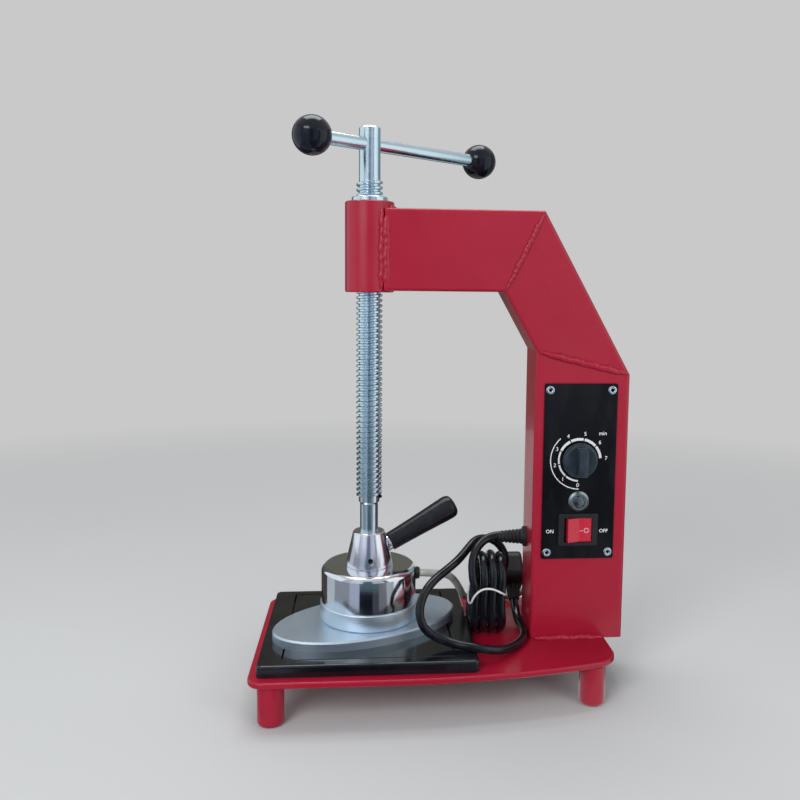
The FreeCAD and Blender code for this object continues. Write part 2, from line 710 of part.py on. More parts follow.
# The press screw: thread as a plain turned cylinder, spindle with a groove for the grub screw
washer_low = shell_top + cone_floor + end_play
spindle_low = washer_low + washer_thick + end_play
groove_low = shell_top + grub_height - groove_wide / 2
screw_top = bar_height + head_over
lead_screw = new_body("lead_screw")
revolve(lead_screw,
        [(0, spindle_low), (neck_r - cone_edge, spindle_low), (neck_r, spindle_low + cone_edge),
         (neck_r, groove_low), (neck_r - groove_deep, groove_low),
         (neck_r - groove_deep, groove_low + groove_wide), (neck_r, groove_low + groove_wide),
         (neck_r, thread_low), (screw_r, thread_low + thread_run), (screw_r, thread_top),
         (head_r, thread_top + head_taper), (head_r, screw_top - screw_chamfer),
         (head_r - screw_chamfer, screw_top), (0, screw_top)])
profile = new_sketch(lead_screw, "YZ_Plane")
circle(profile, 0, bar_height, bar_r + bar_gap)
pocket(lead_screw, profile, head_r * 4, midplane=True)
lead_screw.Placement = Placement(Vector(0, 0, 0), Rotation(Vector(0, 0, 1), bar_angle.value))
bind(lead_screw, "Placement.Rotation.Angle", bar_angle * Dim(1, "1 deg"))
pieces.append(lead_screw)

# The tommy bar and its balls
tommy_bar = primitive(
    "Cylinder", "tommy_bar", Radius=bar_r,
    Height=bar_short + bar_long - ball_flat * 2 + ball_bore_deep * 2 - 0.4)
near_end = bar_short - ball_flat + ball_bore_deep - 0.2
TO_BAR = Rotation(Vector(0, 0, 1), bar_angle.value) * TO_RIGHT
place(tommy_bar, -near_end * cosine(bar_angle), -near_end * sine(bar_angle), bar_height, TO_BAR)
pieces.append(tommy_bar)
for name, reach, side in (("bar_ball_near", bar_short, -1), ("bar_ball_far", bar_long, 1)):
    body = new_body(name)
    flat_r = root_of(ball_r * ball_r - ball_flat * ball_flat)
    revolve(body,
            [(0, ball_bore_deep - ball_flat), (bar_r + seat_gap, ball_bore_deep - ball_flat),
             (bar_r + seat_gap, -ball_flat), (flat_r, -ball_flat), (0, ball_r)],
            {3: (ball_r, 1)})
    turn = TO_BAR if side > 0 else TO_BAR * Rotation(Vector(0, 1, 0), 180)
    place(body, reach * cosine(bar_angle) * side, reach * sine(bar_angle) * side, bar_height, turn)
    pieces.append(body)

# The thrust washer under the spindle
thrust_washer = new_body("thrust_washer")
revolve(thrust_washer,
        [(0, washer_low), (neck_r - 0.3, washer_low), (neck_r - 0.3, washer_low + washer_thick),
         (0, washer_low + washer_thick)])
pieces.append(thrust_washer)

# The cone that holds the spindle, with a boss for the handle and a foot on the heater block
cone_shape = new_body("cone_shape")
block_top = ring_level + block_high
stem_r = channel_in - 6
revolve(cone_shape,
        [(0, block_top), (stem_r, block_top), (stem_r, shell_top), (cone_low_r, shell_top),
         (cone_top_r, cone_top - cone_edge), (cone_top_r - cone_edge, cone_top),
         (neck_r + bar_gap, cone_top), (neck_r + bar_gap, shell_top + cone_floor),
         (0, shell_top + cone_floor)])
TO_HANDLE = Rotation(Vector(0, 0, 1), handle_angle.value) * Rotation(
    Vector(0, 1, 0), 90 - handle_rise.value)
handle_x = handle_start * cosine(handle_angle)
handle_y = handle_start * sine(handle_angle)
HANDLE = Vector(
    math.cos(math.radians(handle_angle.value)) * math.cos(math.radians(handle_rise.value)),
    math.sin(math.radians(handle_angle.value)) * math.cos(math.radians(handle_rise.value)),
    math.sin(math.radians(handle_rise.value)))
level_x = cosine(handle_rise) * cosine(handle_angle)
level_y = cosine(handle_rise) * sine(handle_angle)
level_z = sine(handle_rise)


def on_handle(obj, start):
    """Put an object's base at a distance along the handle's axis."""
    start = Dim.of(start)
    return place(obj, handle_x + level_x * start, handle_y + level_y * start,
                 handle_root + level_z * start, TO_HANDLE)


boss = on_handle(primitive("Cylinder", "handle_boss", Radius=grip_root_r - 1,
                           Height=stud_in + 2), -stud_in)
stud_hole = on_handle(primitive("Cylinder", "stud_hole", Radius=stud_r + seat_gap,
                                Height=stud_in + 4), -stud_in)
bore = primitive("Cylinder", "spindle_bore", Radius=neck_r + bar_gap, Height=cone_high + 2)
place(bore, 0, 0, shell_top + cone_floor)
TO_GRUB = Rotation(Vector(0, 0, 1), grub_angle.value) * TO_RIGHT
grub_hole = primitive("Cylinder", "grub_hole", Radius=grub_r + seat_gap, Height=cone_low_r)
place(grub_hole, 0, 0, shell_top + grub_height, TO_GRUB)
pieces.append(cut("head_cone", fuse("cone_with_boss", [cone_shape, boss]),
                  fuse("cone_bores", [stud_hole, bore, grub_hole])))

grub_screw = primitive("Cylinder", "grub_screw", Radius=grub_r, Height=cone_low_r - neck_r - 2)
grub_in = neck_r - groove_deep + 0.3
place(grub_screw, grub_in * cosine(grub_angle), grub_in * sine(grub_angle),
      shell_top + grub_height, TO_GRUB)
pieces.append(grub_screw)

# The handle: a stud screwed into the cone and a swelling grip
stud = on_handle(primitive("Cylinder", "handle_stud", Radius=stud_r,
                           Height=stud_in + stud_out - 0.2), 0.1 - stud_in)
pieces.append(stud)
grip_body = new_body("handle_grip")
revolve(grip_body,
        [(stud_r + seat_gap, 0), (grip_root_r - 0.6, 0), (grip_root_r, 0.6),
         (grip_waist_r, grip_long * 0.45), (grip_end_r, grip_long - grip_round * 1.6),
         (grip_end_r - grip_round, grip_long), (0, grip_long), (0, stud_out - 2),
         (stud_r + seat_gap, stud_out - 2)],
        {4: (grip_round * 1.45, 1)})
on_handle(grip_body, 2)
pieces.append(grip_body)

# The chrome shell, with its bevel and the hole for the heater lead
shell_body = new_body("shell_shape")
revolve(shell_body,
        [(shell_r - shell_wall, ring_level), (shell_r, ring_level),
         (shell_r, shell_top - shell_bevel_z), (shell_r - shell_bevel_r, shell_top),
         (stem_r + inner_gap, shell_top), (stem_r + inner_gap, shell_top - shell_wall),
         (shell_r - shell_bevel_r - shell_wall * 0.4, shell_top - shell_wall),
         (shell_r - shell_wall, shell_top - shell_bevel_z - shell_wall * 0.4)])
TO_LEAD = Rotation(Vector(0, 0, 1), lead_exit_angle.value) * TO_RIGHT
lead_level = ring_level + lead_exit_high
lead_x = cosine(lead_exit_angle)
lead_y = sine(lead_exit_angle)
lead_hole = primitive("Cylinder", "lead_hole", Radius=bushing_r + seat_gap, Height=shell_r)
place(lead_hole, lead_x * shell_r * 0.5, lead_y * shell_r * 0.5, lead_level, TO_LEAD)
pieces.append(cut("chrome_shell", shell_body, lead_hole))

lead_bushing = new_body("lead_bushing")
revolve(lead_bushing,
        [(lead_r + seat_gap, -shell_wall * 2), (bushing_r, -shell_wall * 2), (bushing_r, 0.05),
         (bushing_r + bushing_lip, 0.05), (bushing_r + bushing_lip * 0.4, bushing_lip * 2),
         (lead_r + seat_gap, bushing_lip * 2)])
place(lead_bushing, lead_x * shell_r, lead_y * shell_r, lead_level, TO_LEAD)
pieces.append(lead_bushing)

# The heater block with its channel, the element and the thermostat
heater_block = new_body("heater_block")
revolve(heater_block,
        [(0, sole_top), (ring_r - ring_edge, sole_top), (ring_r, sole_top + ring_edge),
         (ring_r, ring_level), (block_r, ring_level), (block_r, block_top),
         (channel_out, block_top), (channel_out, block_top - channel_deep),
         (channel_in, block_top - channel_deep), (channel_in, block_top), (0, block_top)])
pieces.append(heater_block)

heating_element = new_body("heating_element")
element_low = block_top - channel_deep
revolve(heating_element,
        [(channel_in + inner_gap, element_low), (channel_out - inner_gap, element_low),
         (channel_out - inner_gap, block_top - 3), (channel_in + inner_gap, block_top - 3)])
pieces.append(heating_element)

thermostat = primitive("Cylinder", "thermostat", Radius=(channel_out - channel_in) * 0.8,
                       Height=shell_high - block_high - shell_wall - 2)
place(thermostat, 0, (channel_in + channel_out) / 2, block_top)
pieces.append(thermostat)

# The oval sole with its bevelled edge
oval = doc.addObject("Part::Ellipse", "sole_outline")
bind(oval, "MajorRadius", sole_a)
bind(oval, "MinorRadius", sole_b)
oval.Placement = Placement(Vector(0, 0, 0), Rotation(Vector(0, 0, 1), sole_angle.value))
bind(oval, "Placement.Rotation.Angle", sole_angle * Dim(1, "1 deg"))
place(oval, -sole_shift_x, -sole_shift_y, pad_top)
slab = doc.addObject("Part::Extrusion", "sole_slab")
slab.Base = oval
slab.DirMode = "Custom"
slab.Dir = Vector(0, 0, 1)
slab.Solid = True
bind(slab, "LengthFwd", sole_thick)
doc.recompute()
sole_plate = doc.addObject("Part::Chamfer", "sole_plate")
sole_plate.Label = "sole_plate"
sole_plate.Base = slab
rim = [i + 1 for i, e in enumerate(slab.Shape.Edges) if at_height(e, sole_top)]
sole_plate.Edges = [(i, sole_bevel.value, sole_bevel.value) for i in rim]
pieces.append(sole_plate)

# Holes in the column: rivets, mains cord and heater lead
cord_z = plate_top + cord_exit_z
grommet_x = size("grommet_x", 152, "heater lead's entry from the screw axis")
grommet_z = size("grommet_z", 66, "heater lead's entry above the base plate")
grommet_r = size("grommet_r", 4.2, "grommet radius in the wall")
grommet_lip = size("grommet_lip", 1.8, "lip of the grommet")
relief_shank = size("relief_shank", 5.5, "strain relief radius in the wall")
rivets = [(panel_x + (panel_wide / 2 - rivet_in_x) * sx,
           plate_top + panel_low + panel_high / 2 + (panel_high / 2 - rivet_in_z) * sz)
          for sx in (-1, 1) for sz in (-1, 1)]
profile = new_sketch(column, "XZ_Plane", tube_half + 1)
for x, z in rivets:
    circle(profile, x, z, rivet_shank_r + seat_gap)
pocket(column, profile, tube_wall + 2)
profile = new_sketch(column, "YZ_Plane", col_left - 1)
circle(profile, cord_exit_y, cord_z, relief_shank + seat_gap)
pocket(column, profile, tube_wall + 2, reverse=True)
profile = new_sketch(column, "XZ_Plane", -tube_half - 1)
circle(profile, grommet_x, plate_top + grommet_z, grommet_r + seat_gap)
pocket(column, profile, tube_wall + 2, reverse=True)
pieces.append(column)

# The panel plate with its holes
timer_boss = size("timer_boss", 5, "timer's threaded boss radius")
panel_fit = size("panel_fit", 0.3, "gap round what passes through the panel")
rocker_half_x = size("rocker_half_x", 9.6, "half the rocker's width")
rocker_half_z = size("rocker_half_z", 9.2, "half the rocker's height")
rocker_front = size("rocker_front", 5.9, "rocker ends in front of the pivot")
rocker_dip = size("rocker_dip", 1.7, "rocker's middle behind its ends")
pin_r = size("pin_r", 1, "rocker pin radius")
pin_long = size("pin_long", 1.2, "rocker pin length")
panel_plate = new_body("panel_plate")
profile = new_sketch(panel_plate, "XZ_Plane", tube_half)
low = plate_top + panel_low
rectangle(profile, panel_x - panel_wide / 2, low, panel_x + panel_wide / 2, low + panel_high)
pad(panel_plate, profile, panel_thick)
dress(panel_plate, "Fillet", panel_corner, lambda e: is_along(e, Vector(0, 1, 0)))
profile = new_sketch(panel_plate, "XZ_Plane", tube_half + panel_thick + 1)
for x, z in rivets:
    circle(profile, x, z, rivet_shank_r + seat_gap)
circle(profile, panel_x, plate_top + knob_z, timer_boss + panel_fit)
circle(profile, panel_x, plate_top + lamp_z, lamp_hole + panel_fit)
switch_level = plate_top + switch_z
hole_x = housing_wide / 2 + panel_fit
hole_z = housing_high / 2 + panel_fit
rectangle(profile, panel_x - hole_x, switch_level - hole_z, panel_x + hole_x, switch_level + hole_z)
pocket(panel_plate, profile, panel_thick + 2)
pieces.append(panel_plate)

# Eyelet rivets through panel and column wall
eyelets = []
for i, (x, z) in enumerate(rivets):
    eyelet = new_body("eyelet_%d" % (i + 1))
    tail = panel_thick + tube_wall
    revolve(eyelet,
            [(rivet_bore_r, -tail - 0.6), (rivet_shank_r + 0.8, -tail - 0.6),
             (rivet_shank_r + 0.8, -tail), (rivet_shank_r, -tail), (rivet_shank_r, 0),
             (rivet_head_r, 0), (rivet_head_r - 0.4, 0.7), (rivet_bore_r + 0.6, 0.9),
             (rivet_bore_r, 0.3)])
    place(eyelet, x, panel_face, z, TO_FRONT)
    eyelets.append(eyelet)
pieces.append(group("panel_rivets", eyelets))

# The clockwork timer, its nut, spindle and knob
timer_level = plate_top + knob_z
nut_high = size("nut_high", 2, "timer nut height")
nut_r = size("nut_r", 7.5, "timer nut corner radius")
nut_recess = size("nut_recess", 2.8, "recess under the knob for the nut")
timer_case = new_body("timer_case")
revolve(timer_case,
        [(0, -panel_thick - timer_deep), (timer_r, -panel_thick - timer_deep),
         (timer_r, -panel_thick), (timer_boss, -panel_thick), (timer_boss, nut_high),
         (spindle_r + spindle_gap, nut_high), (spindle_r + spindle_gap, -panel_thick - 8),
         (0, -panel_thick - 8)])
place(timer_case, panel_x, panel_face, timer_level, TO_FRONT)
pieces.append(timer_case)
nut_blank = primitive("Prism", "nut_blank", Circumradius=nut_r, Height=nut_high)
nut_blank.Polygon = 6
place(nut_blank, panel_x, panel_face, timer_level, TO_FRONT)
nut_bore = primitive("Cylinder", "nut_bore", Radius=timer_boss + seat_gap, Height=nut_high + 2)
place(nut_bore, panel_x, panel_face + 1, timer_level, TO_FRONT)
pieces.append(cut("timer_nut", nut_blank, nut_bore))

timer_knob = new_body("timer_knob")
revolve(timer_knob,
        [(0, knob_gap), (knob_r, knob_gap), (knob_r, knob_gap + 1),
         (knob_r - 1, knob_gap + knob_skirt), (0, knob_gap + knob_skirt)])
profile = new_sketch(timer_knob, "XY_Plane", knob_gap + knob_skirt)
rectangle(profile, -knob_grip / 2, 2.2 - knob_r, knob_grip / 2, knob_r - 2.2)
pad(timer_knob, profile, knob_high - knob_skirt)
dress(timer_knob, "Fillet", knob_grip * 0.3,
      lambda e: is_along(e, Vector(0, 0, 1)) and e.BoundBox.ZMin > float(knob_gap + knob_skirt) - 0.01)
dress(timer_knob, "Fillet", 1, lambda e: at_height(e, knob_gap + knob_high))
profile = new_sketch(timer_knob, "XY_Plane", knob_gap)
circle(profile, 0, 0, nut_r + 0.9)
pocket(timer_knob, profile, nut_recess, reverse=True)
profile = new_sketch(timer_knob, "XY_Plane", knob_gap)
circle(profile, 0, 0, spindle_r + seat_gap)
pocket(timer_knob, profile, knob_high - 3, reverse=True)
place(timer_knob, panel_x, panel_face, timer_level, TO_FRONT)
pieces.append(timer_knob)
timer_spindle = primitive("Cylinder", "timer_spindle", Radius=spindle_r,
                          Height=knob_gap + knob_high - 3.2 + 7)
place(timer_spindle, panel_x, panel_face + 7, timer_level, TO_FRONT)
pieces.append(timer_spindle)

# The pilot lamp
lamp_level = plate_top + lamp_z
lamp_body = new_body("lamp_body")
revolve(lamp_body,
        [(0, -lamp_long), (lamp_hole, -lamp_long), (lamp_hole, 0), (lamp_r, 0),
         (lamp_r, 0.8), (lamp_r - 1.6, 2.2), (lamp_lens_r + seat_gap, 2.2),
         (lamp_lens_r + seat_gap, -2), (0, -2)])
place(lamp_body, panel_x, panel_face, lamp_level, TO_FRONT)
pieces.append(lamp_body)
lamp_lens = new_body("lamp_lens")
lens_rise = size("lens_rise", 2, "rise of the lamp lens's dome")
dome_r = (lamp_lens_r * lamp_lens_r + lens_rise * lens_rise) / (lens_rise * 2)
revolve(lamp_lens, [(0, -2), (lamp_lens_r, -2), (lamp_lens_r, 2), (0, 2 + lens_rise)],
        {2: (dome_r, 1)})
place(lamp_lens, panel_x, panel_face, lamp_level, TO_FRONT)
pieces.append(lamp_lens)

# The rocker switch: bezel and housing in one, with the rocker on two pins
switch_body = new_body("switch_body")
profile = new_sketch(switch_body, "XY_Plane")
rectangle(profile, -switch_wide / 2, -switch_high / 2, switch_wide / 2, switch_high / 2)
pad(switch_body, profile, bezel_thick)
dress(switch_body, "Fillet", 1.5, lambda e: is_along(e, Vector(0, 0, 1)))
dress(switch_body, "Chamfer", 0.6, lambda e: at_height(e, bezel_thick))
profile = new_sketch(switch_body, "XY_Plane")
rectangle(profile, -housing_wide / 2, -housing_high / 2, housing_wide / 2, housing_high / 2)
pad(switch_body, profile, housing_deep, reverse=True)
open_x = rocker_half_x * cosine(rocker_tilt) + rocker_front * sine(rocker_tilt) + rocker_gap
open_z = rocker_half_z + rocker_gap
profile = new_sketch(switch_body, "XY_Plane", bezel_thick)
rectangle(profile, -open_x, -open_z, open_x, open_z)
pocket(switch_body, profile, bezel_thick + housing_deep * 0.5)
profile = new_sketch(switch_body, "XZ_Plane")
circle(profile, 0, -rocker_pivot, pin_r + seat_gap)
pocket(switch_body, profile, (rocker_half_z + pin_long + 0.3) * 2, midplane=True)
place(switch_body, panel_x, panel_face, switch_level, TO_FRONT)
pieces.append(switch_body)
rocker = new_body("rocker")
profile = new_sketch(rocker, "XY_Plane")
outline(profile, [(-rocker_half_x, -rocker_front), (0, rocker_dip - rocker_front),
                  (rocker_half_x, -rocker_front), (rocker_half_x - 1, 3.5),
                  (1 - rocker_half_x, 3.5)])
pad(rocker, profile, rocker_half_z * 2, midplane=True)
profile = new_sketch(rocker, "XY_Plane")
circle(profile, 0, 0, pin_r)
pad(rocker, profile, (rocker_half_z + pin_long) * 2, midplane=True)
place(rocker, panel_x, panel_face + rocker_pivot, switch_level,
      Rotation(Vector(0, 0, 1), rocker_tilt.value))
pieces.append(rocker)

# The mains strain relief and the heater lead's grommet
cord_relief = new_body("cord_relief")
cord_bore = cord_r + seat_gap
revolve(cord_relief,
        [(cord_bore, -tube_wall * 2.5), (relief_shank, -tube_wall * 2.5), (relief_shank, 0),
         (relief_root_r + 2, 0), (relief_root_r + 2, 2), (relief_root_r, 2.6),
         (relief_tip_r, relief_long), (cord_bore, relief_long)])
place(cord_relief, col_left, cord_exit_y, cord_z, Rotation(Vector(0, 1, 0), -90))
pieces.append(cord_relief)
lead_grommet = new_body("lead_grommet")
revolve(lead_grommet,
        [(lead_r + seat_gap, -tube_wall - grommet_lip), (grommet_r + 1.5, -tube_wall - grommet_lip),
         (grommet_r + 1.5, -tube_wall), (grommet_r, -tube_wall), (grommet_r, 0),
         (grommet_r + 1.5, 0), (grommet_r + 0.7, grommet_lip), (lead_r + seat_gap, grommet_lip)])
place(lead_grommet, grommet_x, tube_half, plate_top + grommet_z, Rotation(Vector(1, 0, 0), -90))
pieces.append(lead_grommet)


def cord_path(name, points):
    """Straight runs joined by tangent arcs, each as large as its two runs allow."""
    points = [Vector(*[float(c) for c in p]) for p in points]
    edges = []
    radii = []
    at = points[0]
    for i in range(1, len(points) - 1):
        before = points[i] - points[i - 1]
        after = points[i + 1] - points[i]
        short = min(before.Length, after.Length) * 0.48
        before.normalize()
        after.normalize()
        half_turn = before.getAngle(after) / 2
        radius = short / math.tan(half_turn)
        radii.append(radius)
        start = points[i] - before * short
        end = points[i] + after * short
        inward = after - before
        inward.normalize()
        middle = points[i] + inward * (radius / math.cos(half_turn) - radius)
        edges.append(Part.LineSegment(at, start).toShape())
        edges.append(Part.Arc(start, middle, end).toShape())
        at = end
    edges.append(Part.LineSegment(at, points[-1]).toShape())
    print("%s: radii %s" % (name, " ".join("%.0f" % r for r in radii)))
    return Part.Wire(edges)


def tube(name, path, radius):
    """A round tube along a path."""
    first = path.Edges[0]
    start = first.valueAt(first.FirstParameter)
    heading = first.tangentAt(first.FirstParameter)
    ring = Part.Wire([Part.makeCircle(float(radius), start, heading)])
    solid = path.makePipeShell([ring], True, False)
    full = math.pi * float(radius) ** 2 * path.Length
    print("%s: volume %.1f of %.1f, length %.0f" % (name, solid.Volume, full, path.Length))
    return solid


# The mains cord from its strain relief, arched down into the near side of the hank
low_z = plate_top + cord_r + 0.3
pad_z = pad_top + cord_r + 0.3
LEAD_POINTS = [
    (col_left + cord_inside, cord_exit_y, cord_z), (92.5, cord_exit_y, cord_z),
    (79.2, -1.5, 99.5), (79.2, -14.5, 87), (82.2, -15.6, 71)]
pieces.append(fixed_shape("cord_lead", tube("cord_lead", cord_path("cord_lead", LEAD_POINTS), cord_r)))

# The hank: upright turns that step away from the pad on their far side, drawn in at the waist
hank_low = float(low_z)
hank_high = float(plate_top + hank_top)
lobe = float(hank_lobe)
step = float(hank_pitch)
waist_z = (hank_low + hank_high) / 2
waist_y = lobe - float(hank_draw)
climb_long = math.pi * lobe + hank_high - hank_low - 2 * lobe


def climbed(share):
    """How far along X the strand has stepped, and how steeply, at a share of its climb."""
    return step * (3 * share ** 2 - 2 * share ** 3), 6 * share * (1 - share) * step / climb_long


def arc_edge(p0, heading, p1):
    """An arc from p0, along heading, to p1, and its heading there."""
    chord = p1 - p0
    side = chord - heading * chord.dot(heading)
    if side.Length < 1e-7:
        return Part.LineSegment(p0, p1).toShape(), Vector(heading)
    side.normalize()
    radius = chord.Length ** 2 / (2 * chord.dot(side))
    centre = p0 + side * radius
    middle = (p0 - centre) + (p1 - centre)
    middle.normalize()
    edge = Part.Arc(p0, centre + middle * radius, p1).toShape()
    unit = chord.normalize()
    return edge, unit * (2 * heading.dot(unit)) - heading


def biarc(p0, t0, p1, t1):
    """Two arcs that leave p0 along t0 and reach p1 along t1."""
    v = p1 - p0
    t = t0 + t1
    square = 2 * (1 - t0.dot(t1))
    if square < 1e-9:
        d = v.dot(v) / (4 * v.dot(t1))
    else:
        d = (-v.dot(t) + math.sqrt(v.dot(t) ** 2 + square * v.dot(v))) / square
    joint = (p0 + p1 + (t0 - t1) * d) * 0.5
    first, heading = arc_edge(p0, t0, joint)
    second, _ = arc_edge(joint, heading, p1)
    return [first, second]


def unit(x, y, z):
    v = Vector(x, y, z)
    v.normalize()
    return v


first = Vector(*[float(c) for c in LEAD_POINTS[-1]])
knots = [(first, unit(*(first - Vector(*[float(c) for c in LEAD_POINTS[-2]]))))]
leaves_at = (math.pi * lobe / 2 + waist_z + 5 - hank_low - lobe) / climb_long
for turn in range(int(hank_turns.value)):
    x = float(hank_left) + turn * step
    if turn > 0:
        knots.append((Vector(x, 0, hank_high), Vector(0, -1, 0)))
        knots.append((Vector(x, -lobe, hank_high - lobe), Vector(0, 0, -1)))
        knots.append((Vector(x, -waist_y, waist_z), Vector(0, 0, -1)))
    knots.append((Vector(x, -lobe, hank_low + lobe), Vector(0, 0, -1)))
    knots.append((Vector(x, 0, hank_low), Vector(0, 1, 0)))
    fold = math.pi * lobe / 2 / climb_long
    climb = [(fold, lobe, hank_low + lobe), (0.5, waist_y, waist_z)]
    if turn < int(hank_turns.value) - 1:
        climb.append((1 - fold, lobe, hank_high - lobe))
    else:
        climb.append((leaves_at, lobe - 0.4, waist_z + 5))
    for share, y, z in climb:
        gone, slope = climbed(share)
        knots.append((Vector(x + gone, y, z), unit(slope, 0, 1)))
hank_edges = []
for (p0, t0), (p1, t1) in zip(knots, knots[1:]):
    hank_edges += biarc(p0, t0, p1, t1)
last, leaving = knots[-1]
hank_path = Part.Wire(hank_edges)
pieces.append(fixed_shape("cord_hank", tube("cord_hank", hank_path, cord_r)))

# The least gap between the hank's turns
spots = hank_path.discretize(Distance=1.0)
far = int(math.pi * float(cord_r)) + 12
least = min((a - b).Length for i, a in enumerate(spots) for b in spots[i + far:]) - 2 * float(cord_r)
print("cord_hank: least gap to itself %.2f" % least)

# The tie round the hank's waist
tie_x0 = float(hank_left) - float(cord_r) - float(tie_r) - 0.8
tie_x1 = x + step * 0.5 + float(cord_r) + float(tie_r) + 0.6
tie_y = waist_y + float(cord_r) + float(tie_r) + 0.35
bend = float(cord_r) + float(tie_r)
corners = [(tie_x0, -tie_y), (tie_x1, -tie_y), (tie_x1, tie_y), (tie_x0, tie_y)]
tie_edges = []
for i, (x, y) in enumerate(corners):
    nx, ny = corners[(i + 1) % 4]
    px, py = corners[i - 1]
    to_next = unit(nx - x, ny - y, 0)
    to_last = unit(px - x, py - y, 0)
    corner = Vector(x, y, waist_z)
    start = corner + to_last * bend
    end = corner + to_next * bend
    centre = corner + (to_last + to_next) * bend
    inward = corner - centre
    inward.normalize()
    tie_edges.append(Part.Arc(start, centre + inward * bend, end).toShape())
    there = Vector(nx, ny, waist_z) - to_next * bend
    tie_edges.append(Part.LineSegment(end, there).toShape())
pieces.append(fixed_shape("hank_tie", tube("hank_tie", Part.Wire(tie_edges), tie_r)))

# The tail of the cord, looped over the pad and back past the column, and the plug that it ends in
plug_x = size("plug_x", 120.5, "plug centre from the screw axis")
plug_y = size("plug_y", 44, "plug centre behind the middle")
plug_z = size("plug_z", 33.5, "plug centre above the base plate")
plug_side = size("plug_side", 28, "plug face width")
plug_thick = size("plug_thick", 17, "plug thickness")
plug_corner = size("plug_corner", 8, "plug corner radius")
plug_turn = size("plug_turn", 45, "how far the plug stands on its corner")
plug_relief = size("plug_relief", 12, "plug strain relief length")
plug_centre_z = plate_top + plug_z
mouth = plug_side / 2
entry = Vector(0, -math.sin(math.radians(plug_turn.value)), -math.cos(math.radians(plug_turn.value)))
centre = Vector(plug_x.value, plug_y.value, plug_centre_z.value)
inside = centre + entry * (mouth.value - 3)
approach = centre + entry * (mouth.value + plug_relief.value + 8)
TAIL_POINTS = [
    tuple(last), tuple(last + leaving * 14.6), (105.9, 23.1, 99), (92.1, 24.5, 103.9),
    (78.3, 18.1, 101.4), (70.1, 0.9, 95.5), (57.9, -22.8, 92.3), (43, -42, 84), (36, -52, 73),
    (38, -60, 57), (51, -64, pad_z), (70, -63, pad_z), (90, -60, pad_z - 1), (105, -50.5, low_z),
    (118, -38, low_z), (121.2, -18, low_z), (plug_x, 10, low_z), tuple(approach), tuple(inside)]
pieces.append(fixed_shape("cord_tail", tube("cord_tail", cord_path("cord_tail", TAIL_POINTS), cord_r)))

plug_shape = new_body("plug_shape")
profile = new_sketch(plug_shape, "XZ_Plane", plug_thick / 2)
rectangle(profile, -mouth, -mouth, mouth, mouth)
pad(plug_shape, profile, plug_thick, reverse=True)
dress(plug_shape, "Fillet", plug_corner, lambda e: is_along(e, Vector(0, 1, 0)))
dress(plug_shape, "Fillet", 2.5, lambda e: abs(e.BoundBox.YMin + plug_thick.value / 2) < 1e-3
      and abs(e.BoundBox.YMax + plug_thick.value / 2) < 1e-3)
sleeve = primitive("Cone", "plug_sleeve", Radius1=cord_r + 1, Radius2=cord_r + 3,
                   Height=plug_relief)
place(sleeve, 0, 0, -mouth - plug_relief)
cord_hole = primitive("Cylinder", "plug_cord_hole", Radius=cord_r + seat_gap,
                      Height=plug_relief + 3)
place(cord_hole, 0, 0, -mouth - plug_relief)
plug_whole = fuse("plug_whole", [plug_shape, sleeve])
TO_PLUG = Rotation(Vector(1, 0, 0), -plug_turn.value) * Rotation(Vector(0, 0, 1), 90)
plug_body = cut("plug_body", plug_whole, cord_hole)
place(plug_body, plug_x, plug_y, plug_centre_z, TO_PLUG)
pieces.append(plug_body)

# Three flat pins on the plug's hidden face: two leaning, one upright
pins = []
for name, px, pz, lean in (("pin_left", -6, 4, 30), ("pin_right", 6, 4, -30), ("pin_earth", 0, -6, 0)):
    pin = primitive("Box", name, Length=plug_pin_thick, Width=plug_pin_long, Height=plug_pin_wide)
    local = Placement(Vector(px, plug_thick.value / 2, pz), Rotation(Vector(0, 1, 0), lean))
    local = local * Placement(Vector(-plug_pin_thick.value / 2, 0, -plug_pin_wide.value / 2), Rotation())
    pin.Placement = Placement(centre, TO_PLUG) * local
    pins.append(pin)
pieces.append(group("plug_pins", pins))

# The heater lead: slack enough for the head to rise and swing
lead_start = shell_r.value - lead_inside.value
HEATER_POINTS = [
    (lead_start * math.cos(math.radians(lead_exit_angle.value)),
     lead_start * math.sin(math.radians(lead_exit_angle.value)), lead_level),
    (lead_bend, lead_bend * lead_y / lead_x, lead_level),
    (66, 3, 79), (75.5, 13, 61), (79, 34, 50), (94, 56, 40), (116, 64, 38.2), (131, 62, 39),
    (grommet_x, 60, 60),
    (grommet_x, 48, plate_top + grommet_z), (grommet_x, tube_half - 6, plate_top + grommet_z)]
pieces.append(fixed_shape(
    "heater_lead", tube("heater_lead", cord_path("heater_lead", HEATER_POINTS), lead_r)))

# Check and write every piece
doc.recompute()
for obj in doc.Objects:
    if any(word in obj.State for word in ("Invalid", "Error")):
        raise RuntimeError("%s: %s" % (obj.Name, obj.State))
os.makedirs("parts", exist_ok=True)
for piece in pieces:
    shape = piece.Shape
    if shape.isNull() or not shape.isValid() or not shape.Solids:
        raise RuntimeError("%s has no valid solid" % piece.Label)
    shape.exportStep("parts/%s.step" % piece.Label)
print("%d pieces" % len(pieces))
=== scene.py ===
"""The tyre vulcanizing press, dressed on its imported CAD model.

Metres, Z up, with the screw's axis through the origin and the feet on z = 0.
"""
import math

import bpy
from mathutils import Matrix, Vector


